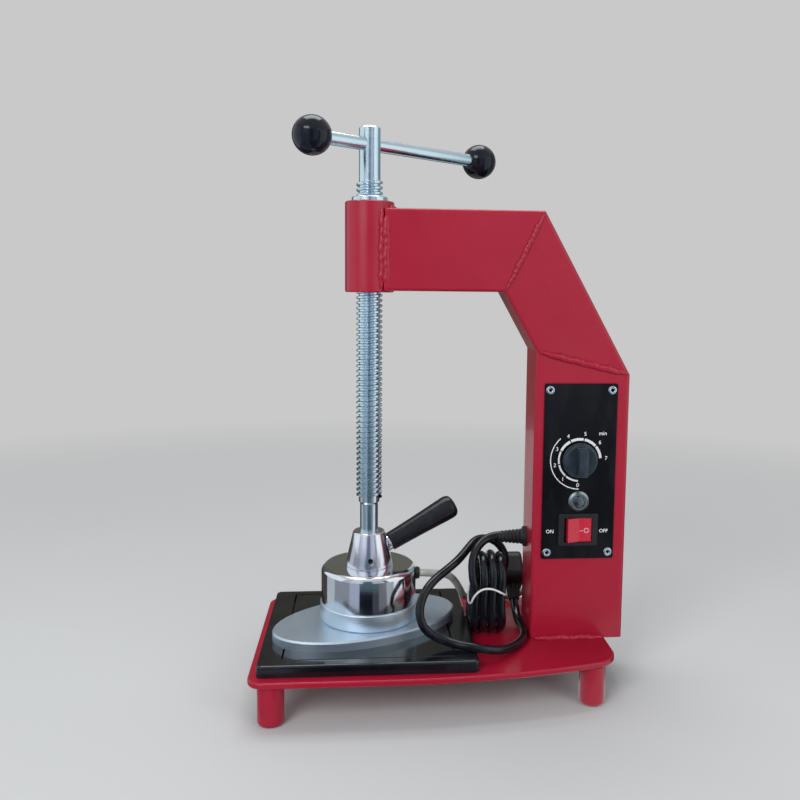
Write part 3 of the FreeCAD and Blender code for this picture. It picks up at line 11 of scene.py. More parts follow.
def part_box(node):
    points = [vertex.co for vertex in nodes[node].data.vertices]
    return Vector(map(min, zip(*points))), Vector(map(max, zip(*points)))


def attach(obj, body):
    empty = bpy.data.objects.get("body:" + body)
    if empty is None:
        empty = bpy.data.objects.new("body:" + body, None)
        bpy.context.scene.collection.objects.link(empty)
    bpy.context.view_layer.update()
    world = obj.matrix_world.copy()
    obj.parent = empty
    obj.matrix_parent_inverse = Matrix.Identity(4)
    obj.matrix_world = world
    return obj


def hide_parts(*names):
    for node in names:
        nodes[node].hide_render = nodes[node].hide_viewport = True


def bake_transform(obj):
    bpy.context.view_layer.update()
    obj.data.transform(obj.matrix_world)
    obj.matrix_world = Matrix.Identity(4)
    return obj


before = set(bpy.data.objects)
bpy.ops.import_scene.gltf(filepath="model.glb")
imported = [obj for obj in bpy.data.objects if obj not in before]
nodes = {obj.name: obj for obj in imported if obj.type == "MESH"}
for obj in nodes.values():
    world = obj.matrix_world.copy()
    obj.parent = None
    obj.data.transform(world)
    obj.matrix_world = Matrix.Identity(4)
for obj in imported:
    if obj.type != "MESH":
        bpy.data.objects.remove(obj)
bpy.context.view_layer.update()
mm = 0.001

# ---- The camera
# The press stands a little to the right of the picture, seen from in front and
# slightly above, with the screw left of the middle and the column on the right.
photo_side = 800
yaw, pitch, roll = 0.0852629406, 0.106399418, 0.0109136459
focal, centre_across, centre_down = 841.469529, 438.352473, 377.349316
camera_place = Vector((-1.90945926, -643.302081, 307.128256)) * mm
looking = Vector((math.sin(yaw) * math.cos(pitch), math.cos(yaw) * math.cos(pitch),
                  -math.sin(pitch)))
level = Vector((math.cos(yaw), -math.sin(yaw), 0))
upright = level.cross(looking)
right = level * math.cos(roll) + upright * math.sin(roll)
up = upright * math.cos(roll) - level * math.sin(roll)
eye = bpy.data.objects.new("camera", bpy.data.cameras.new("camera"))
bpy.context.scene.collection.objects.link(eye)
aim = Matrix((right, up, -looking)).transposed().to_4x4()
eye.matrix_world = Matrix.Translation(camera_place) @ aim
eye.data.sensor_width = 36
eye.data.lens = focal * eye.data.sensor_width / photo_side
eye.data.shift_x = (photo_side / 2 - centre_across) / photo_side
eye.data.shift_y = (centre_down - photo_side / 2) / photo_side
eye.data.clip_start = 0.02
eye.data.clip_end = 50
bpy.context.scene.camera = eye


# ---- The mains cord
# A black PVC lead, 6.6 mm thick, arches out of the column's side into an upright hank of
# four loose turns, then loops over the pad and back past the column to its plug.
class Tone:
    """One socket of a material's nodes. Sums written on it add the Math nodes."""

    def __init__(self, tree, socket):
        self.tree = tree
        self.socket = socket

    def node(self, kind, settings=None, values=None, out=0):
        """A node fed from values or other tones, by the name or number of its sockets."""
        made = self.tree.nodes.new(kind)
        for name, value in (settings or {}).items():
            if name == "stops":
                while len(made.color_ramp.elements) < len(value):
                    made.color_ramp.elements.new(0.5)
                for stop, (place, shade) in zip(made.color_ramp.elements, value):
                    stop.position = place
                    stop.color = (*shade, 1)
            else:
                setattr(made, name, value)
        for name, value in (values or {}).items():
            if isinstance(value, Tone):
                self.tree.links.new(value.socket, made.inputs[name])
            else:
                made.inputs[name].default_value = value
        return Tone(self.tree, made.outputs[out])

    def maths(self, operation, other):
        """A Math node on this value and another."""
        return self.node("ShaderNodeMath", {"operation": operation}, {0: self, 1: other})

    def __add__(self, other):
        return self.maths("ADD", other)

    __radd__ = __add__

    def __mul__(self, other):
        return self.maths("MULTIPLY", other)

    __rmul__ = __mul__

    def clouds(self, scale, detail=3.0, rough=0.55):
        """Soft noise from 0 to 1, read at this vector."""
        return self.node("ShaderNodeTexNoise", None,
                         {"Vector": self, "Scale": scale, "Detail": detail, "Roughness": rough})

    def stretched(self, x, y, z):
        """This vector with its three parts scaled."""
        return self.node("ShaderNodeMapping", None, {"Vector": self, "Scale": (x, y, z)})

    def between(self, low, high):
        """This value, 0 at low and 1 at high."""
        return self.node("ShaderNodeMapRange", {"clamp": True},
                         {"Value": self, "From Min": low, "From Max": high})

    def mix(self, first, second):
        """From the first colour to the second as this value goes from 0 to 1."""
        first = first if isinstance(first, Tone) else (*first, 1)
        second = second if isinstance(second, Tone) else (*second, 1)
        return self.node("ShaderNodeMix", {"data_type": "RGBA"},
                         {0: self, 6: first, 7: second}, out=2)


def new_finish(name, colour, **sockets):
    """A material: its colour, its shader's plain values, and the vector that its patterns read."""
    made = bpy.data.materials.new(name)
    made.use_nodes = True
    tree = made.node_tree
    shader = tree.nodes["Principled BSDF"]
    shader.inputs["Base Color"].default_value = (*colour, 1)
    for socket, value in sockets.items():
        shader.inputs[socket.replace("_", " ")].default_value = value
    place = Tone(tree, tree.nodes.new("ShaderNodeTexCoord").outputs["Object"])
    return made, place


def feed(made, socket, tone):
    """Give one of the shader's sockets a pattern."""
    made.node_tree.links.new(tone.socket, made.node_tree.nodes["Principled BSDF"].inputs[socket])


def relief(made, height, depth, strength=1.0):
    """Let a pattern stand out of the surface by a depth in mm."""
    feed(made, "Normal", height.node("ShaderNodeBump", None, {
        "Height": height, "Distance": depth * mm, "Strength": strength}))


def paint(obj, made):
    """Give a piece or a CAD node one finish all over."""
    obj.data.materials.clear()
    obj.data.materials.append(made)


def fit(obj, made, body, slot, *stood_for):
    """A finished piece: its material, the body it rides on and the nodes it stands for."""
    paint(obj, made)
    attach(obj, body)
    if stood_for:
        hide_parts(*stood_for)
    return obj


def wire(name, kind, count, radius, roundness):
    """A round wire, its radius in metres, and its spline with the points still to be placed."""
    run = bpy.data.curves.new(name, "CURVE")
    run.dimensions = "3D"
    run.bevel_depth = radius
    run.bevel_resolution = roundness
    run.use_fill_caps = True
    spline = run.splines.new(kind)
    spline.points.add(count - 1)
    obj = bpy.data.objects.new(name, run)
    bpy.context.scene.collection.objects.link(obj)
    return obj, spline


def laid_line(name, points, thick, cyclic=False):
    """A round cord along control points in mm."""
    obj, spline = wire(name, "NURBS", len(points), thick / 2 * mm, 6)
    for point, spot in zip(spline.points, points):
        point.co = (*(Vector(spot) * mm), 1)
    spline.order_u = 3
    spline.use_cyclic_u = cyclic
    spline.use_endpoint_u = not cyclic
    obj.data.resolution_u = 10
    return obj


bpy.ops.object.select_all(action="DESELECT")
cord_black, at = new_finish("black_pvc", (0.004, 0.006, 0.010), Roughness=0.22, Coat_Weight=0.3,
                            Coat_Roughness=0.06, Specular_IOR_Level=0.28)
dust = at.clouds(90, 5).between(0.52, 0.8)
feed(cord_black, "Base Color", dust.mix((0.003, 0.004, 0.007), (0.010, 0.012, 0.015)))
feed(cord_black, "Roughness", dust * 0.2 + 0.17)
relief(cord_black, at.clouds(420, 2), 0.05, 0.5)
cord_thick = 6.6
lead_in = [(133.3, 8, 109), (114, 8, 109.4), (98, 7.6, 110.4), (86.4, 1.6, 104.4),
           (80.3, -8.4, 95.2), (80.1, -15.6, 83.4)]
# Each end of a turn is half an octagon of points, its flats a lobe away from its middle.
lobe, hank_foot = 17.5, 38.1
lobe_corner = lobe / math.cos(math.pi / 8)
turns = []
for loop, hank_head in enumerate((97, 95.8, 96.8, 95.2)):
    foot_x, waist_x, head_x = 81.8 + 7.3 * loop, 82.4 + 6.72 * loop, 82.6 + 6.95 * loop
    if loop:
        turns += [(head_x, lobe_corner * math.sin(math.radians(angle)),
                   hank_head - lobe - lobe_corner * math.cos(math.radians(angle)))
                  for angle in (112.5, 157.5, 202.5, 247.5)]
    turns += [(waist_x, -lobe, hank_head - 23), (waist_x - 0.3, -lobe, 61.2)]
    # The first turn's foot stands clear of the pad's side.
    turns += [(foot_x if loop else foot_x + aside, lobe_corner * math.sin(math.radians(angle)),
               hank_foot + lobe - lobe_corner * math.cos(math.radians(angle)))
              for angle, aside in ((292.5, 0), (337.5, 0.7), (22.5, 0.7), (67.5, 0))]
    turns += [(waist_x + 2.2, lobe, 60.8), (waist_x + 4.6, lobe, 73)]
lead_out = [(112.2, 20.2, 84.1), (109.4, 23.2, 95.4), (99.7, 23.9, 103), (87, 19.7, 104),
            (78.4, 7.8, 98.8), (69.6, -4.9, 94), (59.4, -14.6, 89.5), (49.6, -25.2, 86.2),
            (40.8, -36.4, 79.8), (36.4, -44.8, 69), (39.6, -48.2, 57.4), (49.8, -49.8, 50.4),
            (61.8, -52.8, 47.2), (75, -58.4, 46.4), (88.4, -58.2, 43.8), (101.4, -48.6, 39.6),
            (113, -35.6, 38.1), (121, -20.6, 38.1), (122, -4, 38.1), (120.5, 10.6, 39.6),
            (120.5, 22.5, 46.4), (120.5, 36.2, 60.2)]
mains = laid_line("mains_cord", lead_in + turns + lead_out, cord_thick)
fit(mains, cord_black, "frame", "cord_black", "cord_lead", "cord_hank", "cord_tail")

# ---- The hank's tie
# A thin wire in white PVC goes once round the waist of the hank, bowed up over
# the strands in front and level behind.
tie_white, at = new_finish("white_tie", (0.62, 0.62, 0.60), Roughness=0.42)
soil = at.clouds(260, 3).between(0.45, 0.75)
feed(tie_white, "Base Color", soil.mix((0.64, 0.64, 0.62), (0.46, 0.45, 0.42)))
relief(tie_white, at.clouds(900, 2), 0.03)
tie_thick = 1.6
tie = laid_line("hank_tie_wire", [
    (78.6, -19.6, 64.4), (80.2, -21.9, 70.2), (84.6, -22.3, 75.4), (90.4, -22.4, 77.2),
    (96.4, -22.3, 76.2), (101.6, -21.9, 73.4), (105.8, -19.0, 70.4), (107.4, -10, 68.2),
    (109, 2, 67.4), (110.6, 14, 67.2), (109.2, 21.0, 67.2), (104, 22.1, 67.2), (96, 22.0, 67),
    (88, 22.0, 66.4), (82.0, 20.8, 65.4), (80.4, 11, 63.8), (78.4, -2, 62.6), (77.8, -12, 62.2)],
    tie_thick, cyclic=True)
fit(tie, tie_white, "frame", "tie_white", "hank_tie")

# ---- The cord's strain relief
# A tapered sleeve of soft black rubber, moulded with rings so that it bends,
# is pushed into the column's wall round the mains cord.


def alone(obj):
    """Leave only this object selected."""
    bpy.ops.object.select_all(action="DESELECT")
    obj.select_set(True)
    bpy.context.view_layer.objects.active = obj


def all_faces(obj, action="SELECT"):
    """Open an object for editing with all of it selected, or nothing."""
    alone(obj)
    bpy.ops.object.mode_set(mode="EDIT")
    bpy.ops.mesh.select_all(action=action)


def smooth(obj, sharp=35):
    """Shade an object smooth, apart from its edges sharper than an angle in degrees."""
    alone(obj)
    bpy.ops.object.shade_smooth_by_angle(angle=math.radians(sharp))


def close(obj, sharp=35):
    """Leave edit mode and shade the curved faces smooth."""
    bpy.ops.object.mode_set(mode="OBJECT")
    smooth(obj, sharp)


def apply_all(obj):
    """Apply an object's modifiers in their order."""
    alone(obj)
    for name in [m.name for m in obj.modifiers]:
        bpy.ops.object.modifier_apply(modifier=name)


def soften(obj, width, segments=2):
    """Round an object's sharp edges by a width in mm."""
    bevel = obj.modifiers.new("edges", "BEVEL")
    bevel.width = width * mm
    bevel.segments = segments
    bevel.limit_method = "ANGLE"
    bevel.angle_limit = math.radians(30)
    apply_all(obj)


def traced(name, points):
    """A chain of edges through (x, z) points in mm, selected and open for editing."""
    bpy.ops.mesh.primitive_plane_add(size=mm, location=(0, 0, 0))
    obj = bpy.context.object
    obj.name = name
    bpy.ops.object.mode_set(mode="EDIT")
    bpy.ops.mesh.merge(type="CENTER")
    bpy.ops.transform.translate(value=(points[0][0] * mm, 0, points[0][1] * mm))
    for (x0, z0), (x1, z1) in zip(points, points[1:]):
        bpy.ops.mesh.extrude_region_move(
            TRANSFORM_OT_translate={"value": ((x1 - x0) * mm, 0, (z1 - z0) * mm)})
    bpy.ops.mesh.select_all(action="SELECT")
    return obj


def turned(name, profile, steps=96, edge=0.0, sharp=35):
    """A lathe's work: (radius, height) points in mm, spun round Z."""
    obj = traced(name, profile)
    bpy.ops.mesh.spin(steps=steps, angle=2 * math.pi, center=(0, 0, 0), axis=(0, 0, 1))
    bpy.ops.mesh.select_all(action="SELECT")
    bpy.ops.mesh.remove_doubles(threshold=1e-6)
    bpy.ops.mesh.normals_make_consistent(inside=False)
    bpy.ops.object.mode_set(mode="OBJECT")
    if edge:
        soften(obj, edge)
    smooth(obj, sharp)
    return obj


def put(obj, x, y, z, turn=None):
    """Turn a mesh and move it to its place in mm, and leave its object at the origin."""
    obj.data.transform(Matrix.Translation(Vector((x, y, z)) * mm) @ (turn or Matrix.Identity(4)))
    return obj


def joined(name, parts):
    """Several meshes as one piece."""
    alone(parts[0])
    for part in parts[1:]:
        part.select_set(True)
    bpy.ops.object.join()
    parts[0].name = name
    return parts[0]


rubber, at = new_finish("moulded_rubber", (0.008, 0.009, 0.011), Roughness=0.5,
                        Specular_IOR_Level=0.35)
feed(rubber, "Base Color", at.clouds(60, 4).mix((0.006, 0.007, 0.009), (0.017, 0.018, 0.020)))
feed(rubber, "Roughness", at.clouds(240, 3) * 0.2 + 0.45)
relief(rubber, at.clouds(1400, 2), 0.03)
low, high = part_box("cord_relief")
column_side = 125.3
flange = (high.z - low.z) / 2 / mm
sleeve_bore, sleeve_long = 3.35, column_side - low.x / mm
rings = [(sleeve_bore, -5), (5.5, -5), (5.5, 0), (flange, 0), (flange, 2)]
for ring in range(6):
    start = 2.6 + ring * (sleeve_long - 4) / 6
    wide = 6.0 - ring * 0.26
    rings += [(wide, start), (wide, start + 1.9),
              (wide - 0.9, start + 2.2), (wide - 0.9, start + 2.9)]
rings += [(4.5, sleeve_long - 1), (4.1, sleeve_long), (sleeve_bore, sleeve_long),
          (sleeve_bore, -5)]
sleeve = turned("strain_relief", rings, 48, 0.15)
put(sleeve, column_side, 8, 109, Matrix.Rotation(math.radians(-90), 4, "Y"))
fit(sleeve, rubber, "frame", "cord_black", "cord_relief")

# ---- The plug
# A flat three-pin plug of moulded black PVC stands on its corner behind the hank, held
# up by its cord, with a tapered tail and three bright blades.
plug_pvc, at = new_finish("plug_pvc", (0.008, 0.009, 0.011), Roughness=0.4,
                          Specular_IOR_Level=0.35)
feed(plug_pvc, "Base Color", at.clouds(50, 4).mix((0.006, 0.007, 0.009), (0.018, 0.018, 0.020)))
feed(plug_pvc, "Roughness", at.clouds(180, 3) * 0.18 + 0.32)
relief(plug_pvc, at.clouds(1600, 2), 0.03)
paint(nodes["plug_body"], plug_pvc)
plated, at = new_finish("plated_brass", (0.72, 0.62, 0.40), Metallic=1.0, Roughness=0.3)
feed(plated, "Base Color", at.clouds(200, 3).mix((0.78, 0.70, 0.52), (0.60, 0.48, 0.28)))
feed(plated, "Roughness", at.stretched(1, 0.1, 1).clouds(900, 2) * 0.25 + 0.2)
paint(nodes["plug_pins"], plated)

# ---- The base plate and its legs
# A 4.5 mm steel plate with bowed long sides stands on four short bars welded under it.
# Everything welded is sprayed together in one crimson enamel, slightly rippled.


def enamel(name, base, deep):
    """Sprayed enamel: a slow change of shade, orange peel, and fine dust nibs."""
    made, at = new_finish(name, base, Roughness=0.34, Coat_Weight=0.22, Coat_Roughness=0.07,
                          Specular_IOR_Level=0.3)
    slow = at.clouds(9, 3).between(0.3, 0.7)
    nibs = at.clouds(700, 2, 0.7).between(0.66, 0.74)
    feed(made, "Base Color", nibs.mix(slow.mix(base, deep), (0.16, 0.004, 0.012)))
    feed(made, "Roughness", at.clouds(38, 4) * 0.16 + 0.24)
    relief(made, at.clouds(140, 3) * 0.8 + nibs * 0.25, 0.12, 0.35)
    return made


red = enamel("crimson_enamel", (0.350, 0.006, 0.028), (0.300, 0.004, 0.021))
for name in ("base_plate", "leg_pad_near", "leg_pad_far", "leg_column_near", "leg_column_far"):
    paint(nodes[name], red)

# ---- The column, the neck and the arm
# Three lengths of steel box section are mitred and welded into one bent frame,
# its arm level over the pad and its column upright at the plate's right end.
for name in ("column", "neck", "arm", "screw_collar"):
    paint(nodes[name], red)

# ---- The weld beads
# Hand welds join the box sections, the collar and the foot. They lie as a row of
# overlapping ripples, painted over with the rest.


def weld(name, start, end, radius, ripples, ripple=0.12):
    """A bead of overlapping ripples from start to end in mm."""
    start, end = Vector(start), Vector(end)
    count = ripples * 5
    # The wire's own radius is a metre, and each of its points scales that down.
    obj, spline = wire(name, "POLY", count + 1, 1.0, 5)
    across = (end - start).normalized().cross(Vector((0, 1, 0.2))).normalized()
    for i, point in enumerate(spline.points):
        share = i / count
        wave = abs(math.sin(math.pi * share * ripples))
        drift = (0.10 * math.sin(share * ripples * 1.7)
                 + 0.07 * math.sin(share * ripples * 4.1 + 1))
        ends = min(1.0, 3 * min(share, 1 - share) + 0.45)
        point.co = (*((start + (end - start) * share + across * radius * drift) * mm), 1)
        point.radius = radius * mm * (1 - ripple + ripple * wave + drift * 0.4) * ends
    alone(obj)
    bpy.ops.object.convert(target="MESH")
    obj = bpy.context.object
    bpy.ops.object.shade_smooth_by_angle(angle=math.radians(50))
    return obj


def polar(radius, angle, z):
    """A point at a radius from the screw's axis and an angle in degrees from +X."""
    a = math.radians(angle)
    return Vector((radius * math.cos(a), radius * math.sin(a), z))


seams, foot_rows, collar_rows = [], [], []
for side in (-1, 1):
    y = 19.4 * side
    seams.append(weld("shoulder_%d" % side, (127.6, y, 259.5), (196.2, y, 243.1), 2.7, 20, 0.07))
    seams.append(weld("mitre_%d" % side, (102, y, 306.5), (129.0, y, 362.2), 2.1, 15, 0.22))
    foot_rows.append(weld("foot_%d" % side, (129.0, 19.9 * side, 35.0), (183, 19.9 * side, 35.0),
                          2.9, 12, 0.05))
    collar_rows.append(weld("collar_%d" % side, (8.8, 16.4 * side, 305), (9.2, 16.2 * side, 364),
                            2.9, 9, 0.18))
    collar_rows.append(weld("corner_%d" % side, (12.4, 17.6 * side, 304.6),
                            (12.4, 17.6 * side, 364.4), 3.1, 11))
crown_r, crown_z, crown_half, crown_beads = 18.7, 365, 38, 8
for bead in range(crown_beads):
    start, end = (-crown_half + step * 2 * crown_half / crown_beads for step in (bead, bead + 1))
    collar_rows.append(weld("crown_%d" % bead, polar(crown_r, start, crown_z),
                            polar(crown_r, end, crown_z), 1.9, 1))
fit(joined("seam_beads", seams), red, "frame", "red_paint", "seam_weld")
fit(joined("foot_beads", foot_rows), red, "frame", "red_paint", "foot_weld")
fit(joined("collar_beads", collar_rows), red, "frame", "red_paint", "collar_weld")

# ---- The rubber pad
# A glossy black moulded pad lies on the plate under the head, with a raised rim
# and a plain middle panel let in between fine grooves.
gloss, at = new_finish("gloss_black", (0.004, 0.005, 0.007), Roughness=0.17, Coat_Weight=0.3,
                       Coat_Roughness=0.06, Specular_IOR_Level=0.45)
haze = at.clouds(26, 4).between(0.4, 0.75)
specks = at.clouds(900, 2, 0.7).between(0.68, 0.78)
feed(gloss, "Base Color", specks.mix(haze.mix((0.003, 0.004, 0.006), (0.009, 0.010, 0.013)),
                                     (0.045, 0.045, 0.045)))
feed(gloss, "Roughness", haze * 0.14 + 0.12)
relief(gloss, at.clouds(70, 3), 0.12, 0.3)
paint(nodes["press_pad"], gloss)
paint(nodes["pad_insert"], gloss)

# ---- The sole plate
# The heated foot is a cast aluminium oval, milled flat and blasted to a fine satin,
# with a bevel round its upper edge.
satin, at = new_finish("satin_aluminium", (0.50, 0.60, 0.70), Metallic=1.0, Roughness=0.42)
cast = at.clouds(30, 5)
feed(satin, "Base Color", cast.between(0.35, 0.7).mix((0.47, 0.57, 0.67), (0.56, 0.65, 0.74)))
feed(satin, "Roughness", at.clouds(500, 3) * 0.18 + 0.34)
relief(satin, at.clouds(1100, 3), 0.03, 0.7)
paint(nodes["sole_plate"], satin)

# ---- The heater block
# A cast aluminium block, turned bright where its ring shows under the shell.
# The element and the thermostat lie in it, out of sight.
turned_alu, at = new_finish("turned_aluminium", (0.72, 0.82, 0.89), Metallic=1.0, Roughness=0.32)
lathe = at.stretched(0.02, 0.02, 1).clouds(2600, 2)
feed(turned_alu, "Base Color", at.clouds(45, 3).mix((0.69, 0.79, 0.87), (0.78, 0.86, 0.92)))
feed(turned_alu, "Roughness", lathe * 0.2 + 0.28)
relief(turned_alu, lathe, 0.02, 0.5)
block = turned("heater_ring", [(0, 50), (37.2, 50), (38, 50.8), (38, 62.4), (37.6, 63),
                               (35.2, 63), (35.2, 78), (28, 78), (28, 67), (20, 67),
                               (20, 78), (0, 78)], 128, 0.12)
fit(block, turned_alu, "head", "steel_turned", "heater_block")
sheath, at = new_finish("sheathed_element", (0.20, 0.19, 0.18), Metallic=0.6, Roughness=0.6)
feed(sheath, "Base Color", at.clouds(120, 4).mix((0.24, 0.22, 0.20), (0.12, 0.12, 0.13)))
paint(nodes["heating_element"], sheath)
paint(nodes["thermostat"], sheath)

# ---- The chrome shell
# A spun steel cap, polished and chromed, covers the heater block. A narrow bevel
# runs round its top, and the lead comes out through its side.
chrome, at = new_finish("chrome_plate", (0.80, 0.83, 0.87), Metallic=1.0, Roughness=0.17,
                        Anisotropic=0.85, Anisotropic_Rotation=0.25)
smear = at.clouds(34, 4).between(0.45, 0.8)
feed(chrome, "Base Color", smear.mix((0.82, 0.85, 0.89), (0.74, 0.77, 0.81)))
feed(chrome, "Roughness", smear * 0.06 + 0.10)
spun = at.stretched(0.02, 0.02, 1).clouds(1500, 3)
relief(chrome, spun * 0.9 + at.clouds(60, 2) * 0.4, 0.035, 0.8)
cap = turned("chrome_cap", [(35.5, 63), (36.7, 63), (37, 63.3), (37, 87.4), (36.7, 88.6),
                            (35.9, 89.8), (34.8, 90.8), (33.4, 91.4), (32.2, 91.5),
                            (14.3, 91.5), (14.3, 90), (33, 90), (35.5, 87.8), (35.5, 63)],
             160, 0.1, 25)
fit(cap, chrome, "head", "chrome_shell", "chrome_shell")

# ---- The cone
# The head hangs on the screw by a bright turned cone, with a grub screw in front
# that runs in the spindle's groove, and a boss for the handle.


def carve(obj, cutter):
    """Cut one mesh out of another."""
    cut = obj.modifiers.new("cut", "BOOLEAN")
    cut.operation = "DIFFERENCE"
    cut.solver = "EXACT"
    cut.object = cutter
    apply_all(obj)
    bpy.data.objects.remove(cutter)


def aimed(angle, lean=90):
    """The turn that leans Z over from upright, towards an angle from +X, in degrees."""
    return (Matrix.Rotation(math.radians(angle), 4, "Z")
            @ Matrix.Rotation(math.radians(lean), 4, "Y"))


zinc, at = new_finish("bright_zinc", (0.62, 0.76, 0.83), Metallic=1.0, Roughness=0.2)
tint = at.clouds(28, 4).between(0.35, 0.7)
feed(zinc, "Base Color", tint.mix((0.58, 0.73, 0.80), (0.68, 0.80, 0.86)))
feed(zinc, "Roughness", at.clouds(160, 4) * 0.2 + 0.12)
relief(zinc, at.clouds(300, 3), 0.04, 0.4)
bright, at = new_finish("bright_turned_steel", (0.80, 0.81, 0.87), Metallic=1.0, Roughness=0.16)
cuts = at.stretched(0.02, 0.02, 1).clouds(3000, 2)
feed(bright, "Base Color", at.clouds(60, 3).mix((0.76, 0.77, 0.84), (0.86, 0.87, 0.92)))
feed(bright, "Roughness", cuts * 0.16 + 0.09)
relief(bright, cuts, 0.02, 0.8)
handle_angle, handle_rise = 18, 25
handle_turn = aimed(handle_angle, 90 - handle_rise)
handle_way = handle_turn.to_3x3() @ Vector((0, 0, 1))
handle_root = polar(15.5, handle_angle, 106)
cone = turned("cone_body", [(14, 78), (14, 91.5), (18.5, 91.5), (18.5, 92.1), (12.5, 117.3),
                            (11.7, 118), (7.08, 118), (7.08, 93), (0, 93), (0, 78), (14, 78)],
              128, 0.15)
grub_angle, grub_long = -86, 9
grub_turn = aimed(grub_angle)
grub_place = polar(6.6, grub_angle, 98.3)
cone_hole = turned("cone_hole", [(0, 0), (2.05, 0), (2.05, 14), (0, 14)], 36)
put(cone_hole, *grub_place, grub_turn)
carve(cone, cone_hole)
smooth(cone)
boss = turned("cone_boss", [(0, -1), (6.3, -1), (6.3, 1.6), (6.0, 2), (0, 2)], 48, 0.1)
put(boss, *handle_root, handle_turn)
head = joined("head_cone_turned", [cone, boss])
fit(head, bright, "head", "steel_turned", "head_cone")
oxide, at = new_finish("black_oxide", (0.03, 0.03, 0.034), Metallic=0.8, Roughness=0.45)
feed(oxide, "Base Color", at.clouds(700, 3).mix((0.02, 0.02, 0.024), (0.06, 0.06, 0.06)))
bpy.ops.mesh.primitive_cylinder_add(vertices=36, radius=2 * mm, depth=grub_long * mm,
                                    location=(0, 0, 0))
grub = bpy.context.object
put(grub, 0, 0, grub_long / 2)
all_faces(grub, "DESELECT")
bpy.ops.object.mode_set(mode="OBJECT")
for poly in grub.data.polygons:
    poly.select = poly.normal.z > 0.9
bpy.ops.object.mode_set(mode="EDIT")
bpy.ops.mesh.inset(thickness=0.8 * mm)
bpy.ops.mesh.extrude_region_move(TRANSFORM_OT_translate={"value": (0, 0, -1.6 * mm)})
close(grub)
grub.name = "grub_screw_socket"
put(grub, *grub_place, grub_turn)
fit(grub, oxide, "head", "steel_turned", "grub_screw")

# ---- The handle
# A swelling grip of black phenolic is screwed on a steel stud that leans out of
# the cone, away from the hot shell.
phenolic, at = new_finish("black_phenolic", (0.004, 0.004, 0.008), Roughness=0.28,
                          Coat_Weight=0.08, Coat_Roughness=0.15, Specular_IOR_Level=0.32)
feed(phenolic, "Base Color", at.clouds(80, 5).between(0.4, 0.8).mix((0.003, 0.003, 0.006),
                                                                    (0.010, 0.010, 0.016)))
feed(phenolic, "Roughness", at.clouds(320, 4) * 0.22 + 0.2)
relief(phenolic, at.clouds(500, 3), 0.04, 0.5)
grip_profile = [(4.05, 0), (6.6, 0), (7.3, 0.7), (7.5, 10), (8.0, 24), (8.7, 38), (9.3, 49),
                (9.5, 54.0), (9.45, 55.4), (9.1, 57.2), (8.4, 58.6), (7.3, 59.5), (5.6, 59.9),
                (3.0, 60), (0, 60)]
grip = turned("grip", [*grip_profile, (0, 28.2), (4.05, 28.2), (4.05, 0)], 96, 0.0, 30)
put(grip, *(handle_root + handle_way * 2), handle_turn)
fit(grip, phenolic, "head", "black_grip", "handle_grip")
paint(nodes["handle_stud"], zinc)

# ---- The press screw
# Tr20x4 steel, rolled and zinc plated: a plain spindle below, the trapezoidal thread
# through its bush, and a plain end above that the tommy bar crosses.
core = turned("screw_core", [(0, 94.8), (6.2, 94.8), (7, 95.6), (7, 96.1), (5.6, 96.1),
                             (5.6, 100.5), (7, 100.5), (7, 140), (8.05, 141.6), (8.05, 384),
                             (8.0, 396), (8.0, 424), (7.0, 425), (0, 425)], 72, 0.0, 30)
bar_angle, bar_z = 39.3, 412.5
bar_turn = aimed(bar_angle)
drill = turned("bar_drill", [(0, -20), (5.08, -20), (5.08, 20), (0, 20)], 48)
put(drill, 0, 0, bar_z, bar_turn)
carve(core, drill)
smooth(core, 30)
thread_pitch, thread_from, thread_to = 4.0, 143.0, 385.0
tooth = [(7.9, 0.20), (9.6, 0.95), (9.9, 1.2), (9.9, 2.4), (9.6, 2.65), (7.9, 3.40)]
ridge = traced("thread_ridge", [(radius, thread_from + z) for radius, z in tooth])
bpy.ops.mesh.edge_face_add()
bpy.ops.object.mode_set(mode="OBJECT")
coil = ridge.modifiers.new("coil", "SCREW")
coil.axis = "Z"
coil.steps = 36
coil.render_steps = 36
coil.iterations = int((thread_to - thread_from) / thread_pitch)
coil.screw_offset = thread_pitch * mm
coil.angle = 2 * math.pi
coil.use_merge_vertices = False
apply_all(ridge)
all_faces(ridge)
bpy.ops.mesh.normals_make_consistent(inside=False)
close(ridge, 25)
screw = joined("threaded_screw", [core, ridge])
fit(screw, zinc, "screw", "steel_zinc", "lead_screw")

# ---- The threaded bush
# A steel nut, pressed into the collar and left unpainted, carries the screw's thread.
# Only its bright rim shows above the collar.
bush = turned("bush_rim", [(10.08, 303), (13.45, 303), (13.45, 373.2), (12.7, 374), (10.9, 374),
                           (10.08, 373.2), (10.08, 303)], 72, 0.15)
fit(bush, zinc, "frame", "steel_zinc", "screw_bush")

# ---- The tommy bar and its balls
# A zinc plated bar slides through the screw's end and turns it. A glossy black
# phenolic ball is pressed on each end.
bar = turned("bar_rod", [(0, -51.2), (4.4, -51.2), (5, -50.6), (5, 116.9), (4.4, 117.5),
                         (0, 117.5)], 64)
put(bar, 0, 0, bar_z, bar_turn)
fit(bar, zinc, "bar", "steel_zinc", "tommy_bar")
ball_gloss, at = new_finish("ball_phenolic", (0.004, 0.006, 0.010), Roughness=0.14, Coat_Weight=0.1,
                            Coat_Roughness=0.05, Specular_IOR_Level=0.25)
feed(ball_gloss, "Base Color", at.clouds(50, 4).between(0.4, 0.8).mix((0.003, 0.005, 0.009),
                                                                     (0.010, 0.012, 0.018)))
feed(ball_gloss, "Roughness", at.clouds(200, 3) * 0.12 + 0.06)
ball_r, ball_flat = 14.1, 13.0
lowest = -math.asin(ball_flat / ball_r)
ball_profile = [(0, -1), (5.06, -1), (5.06, -ball_flat)]
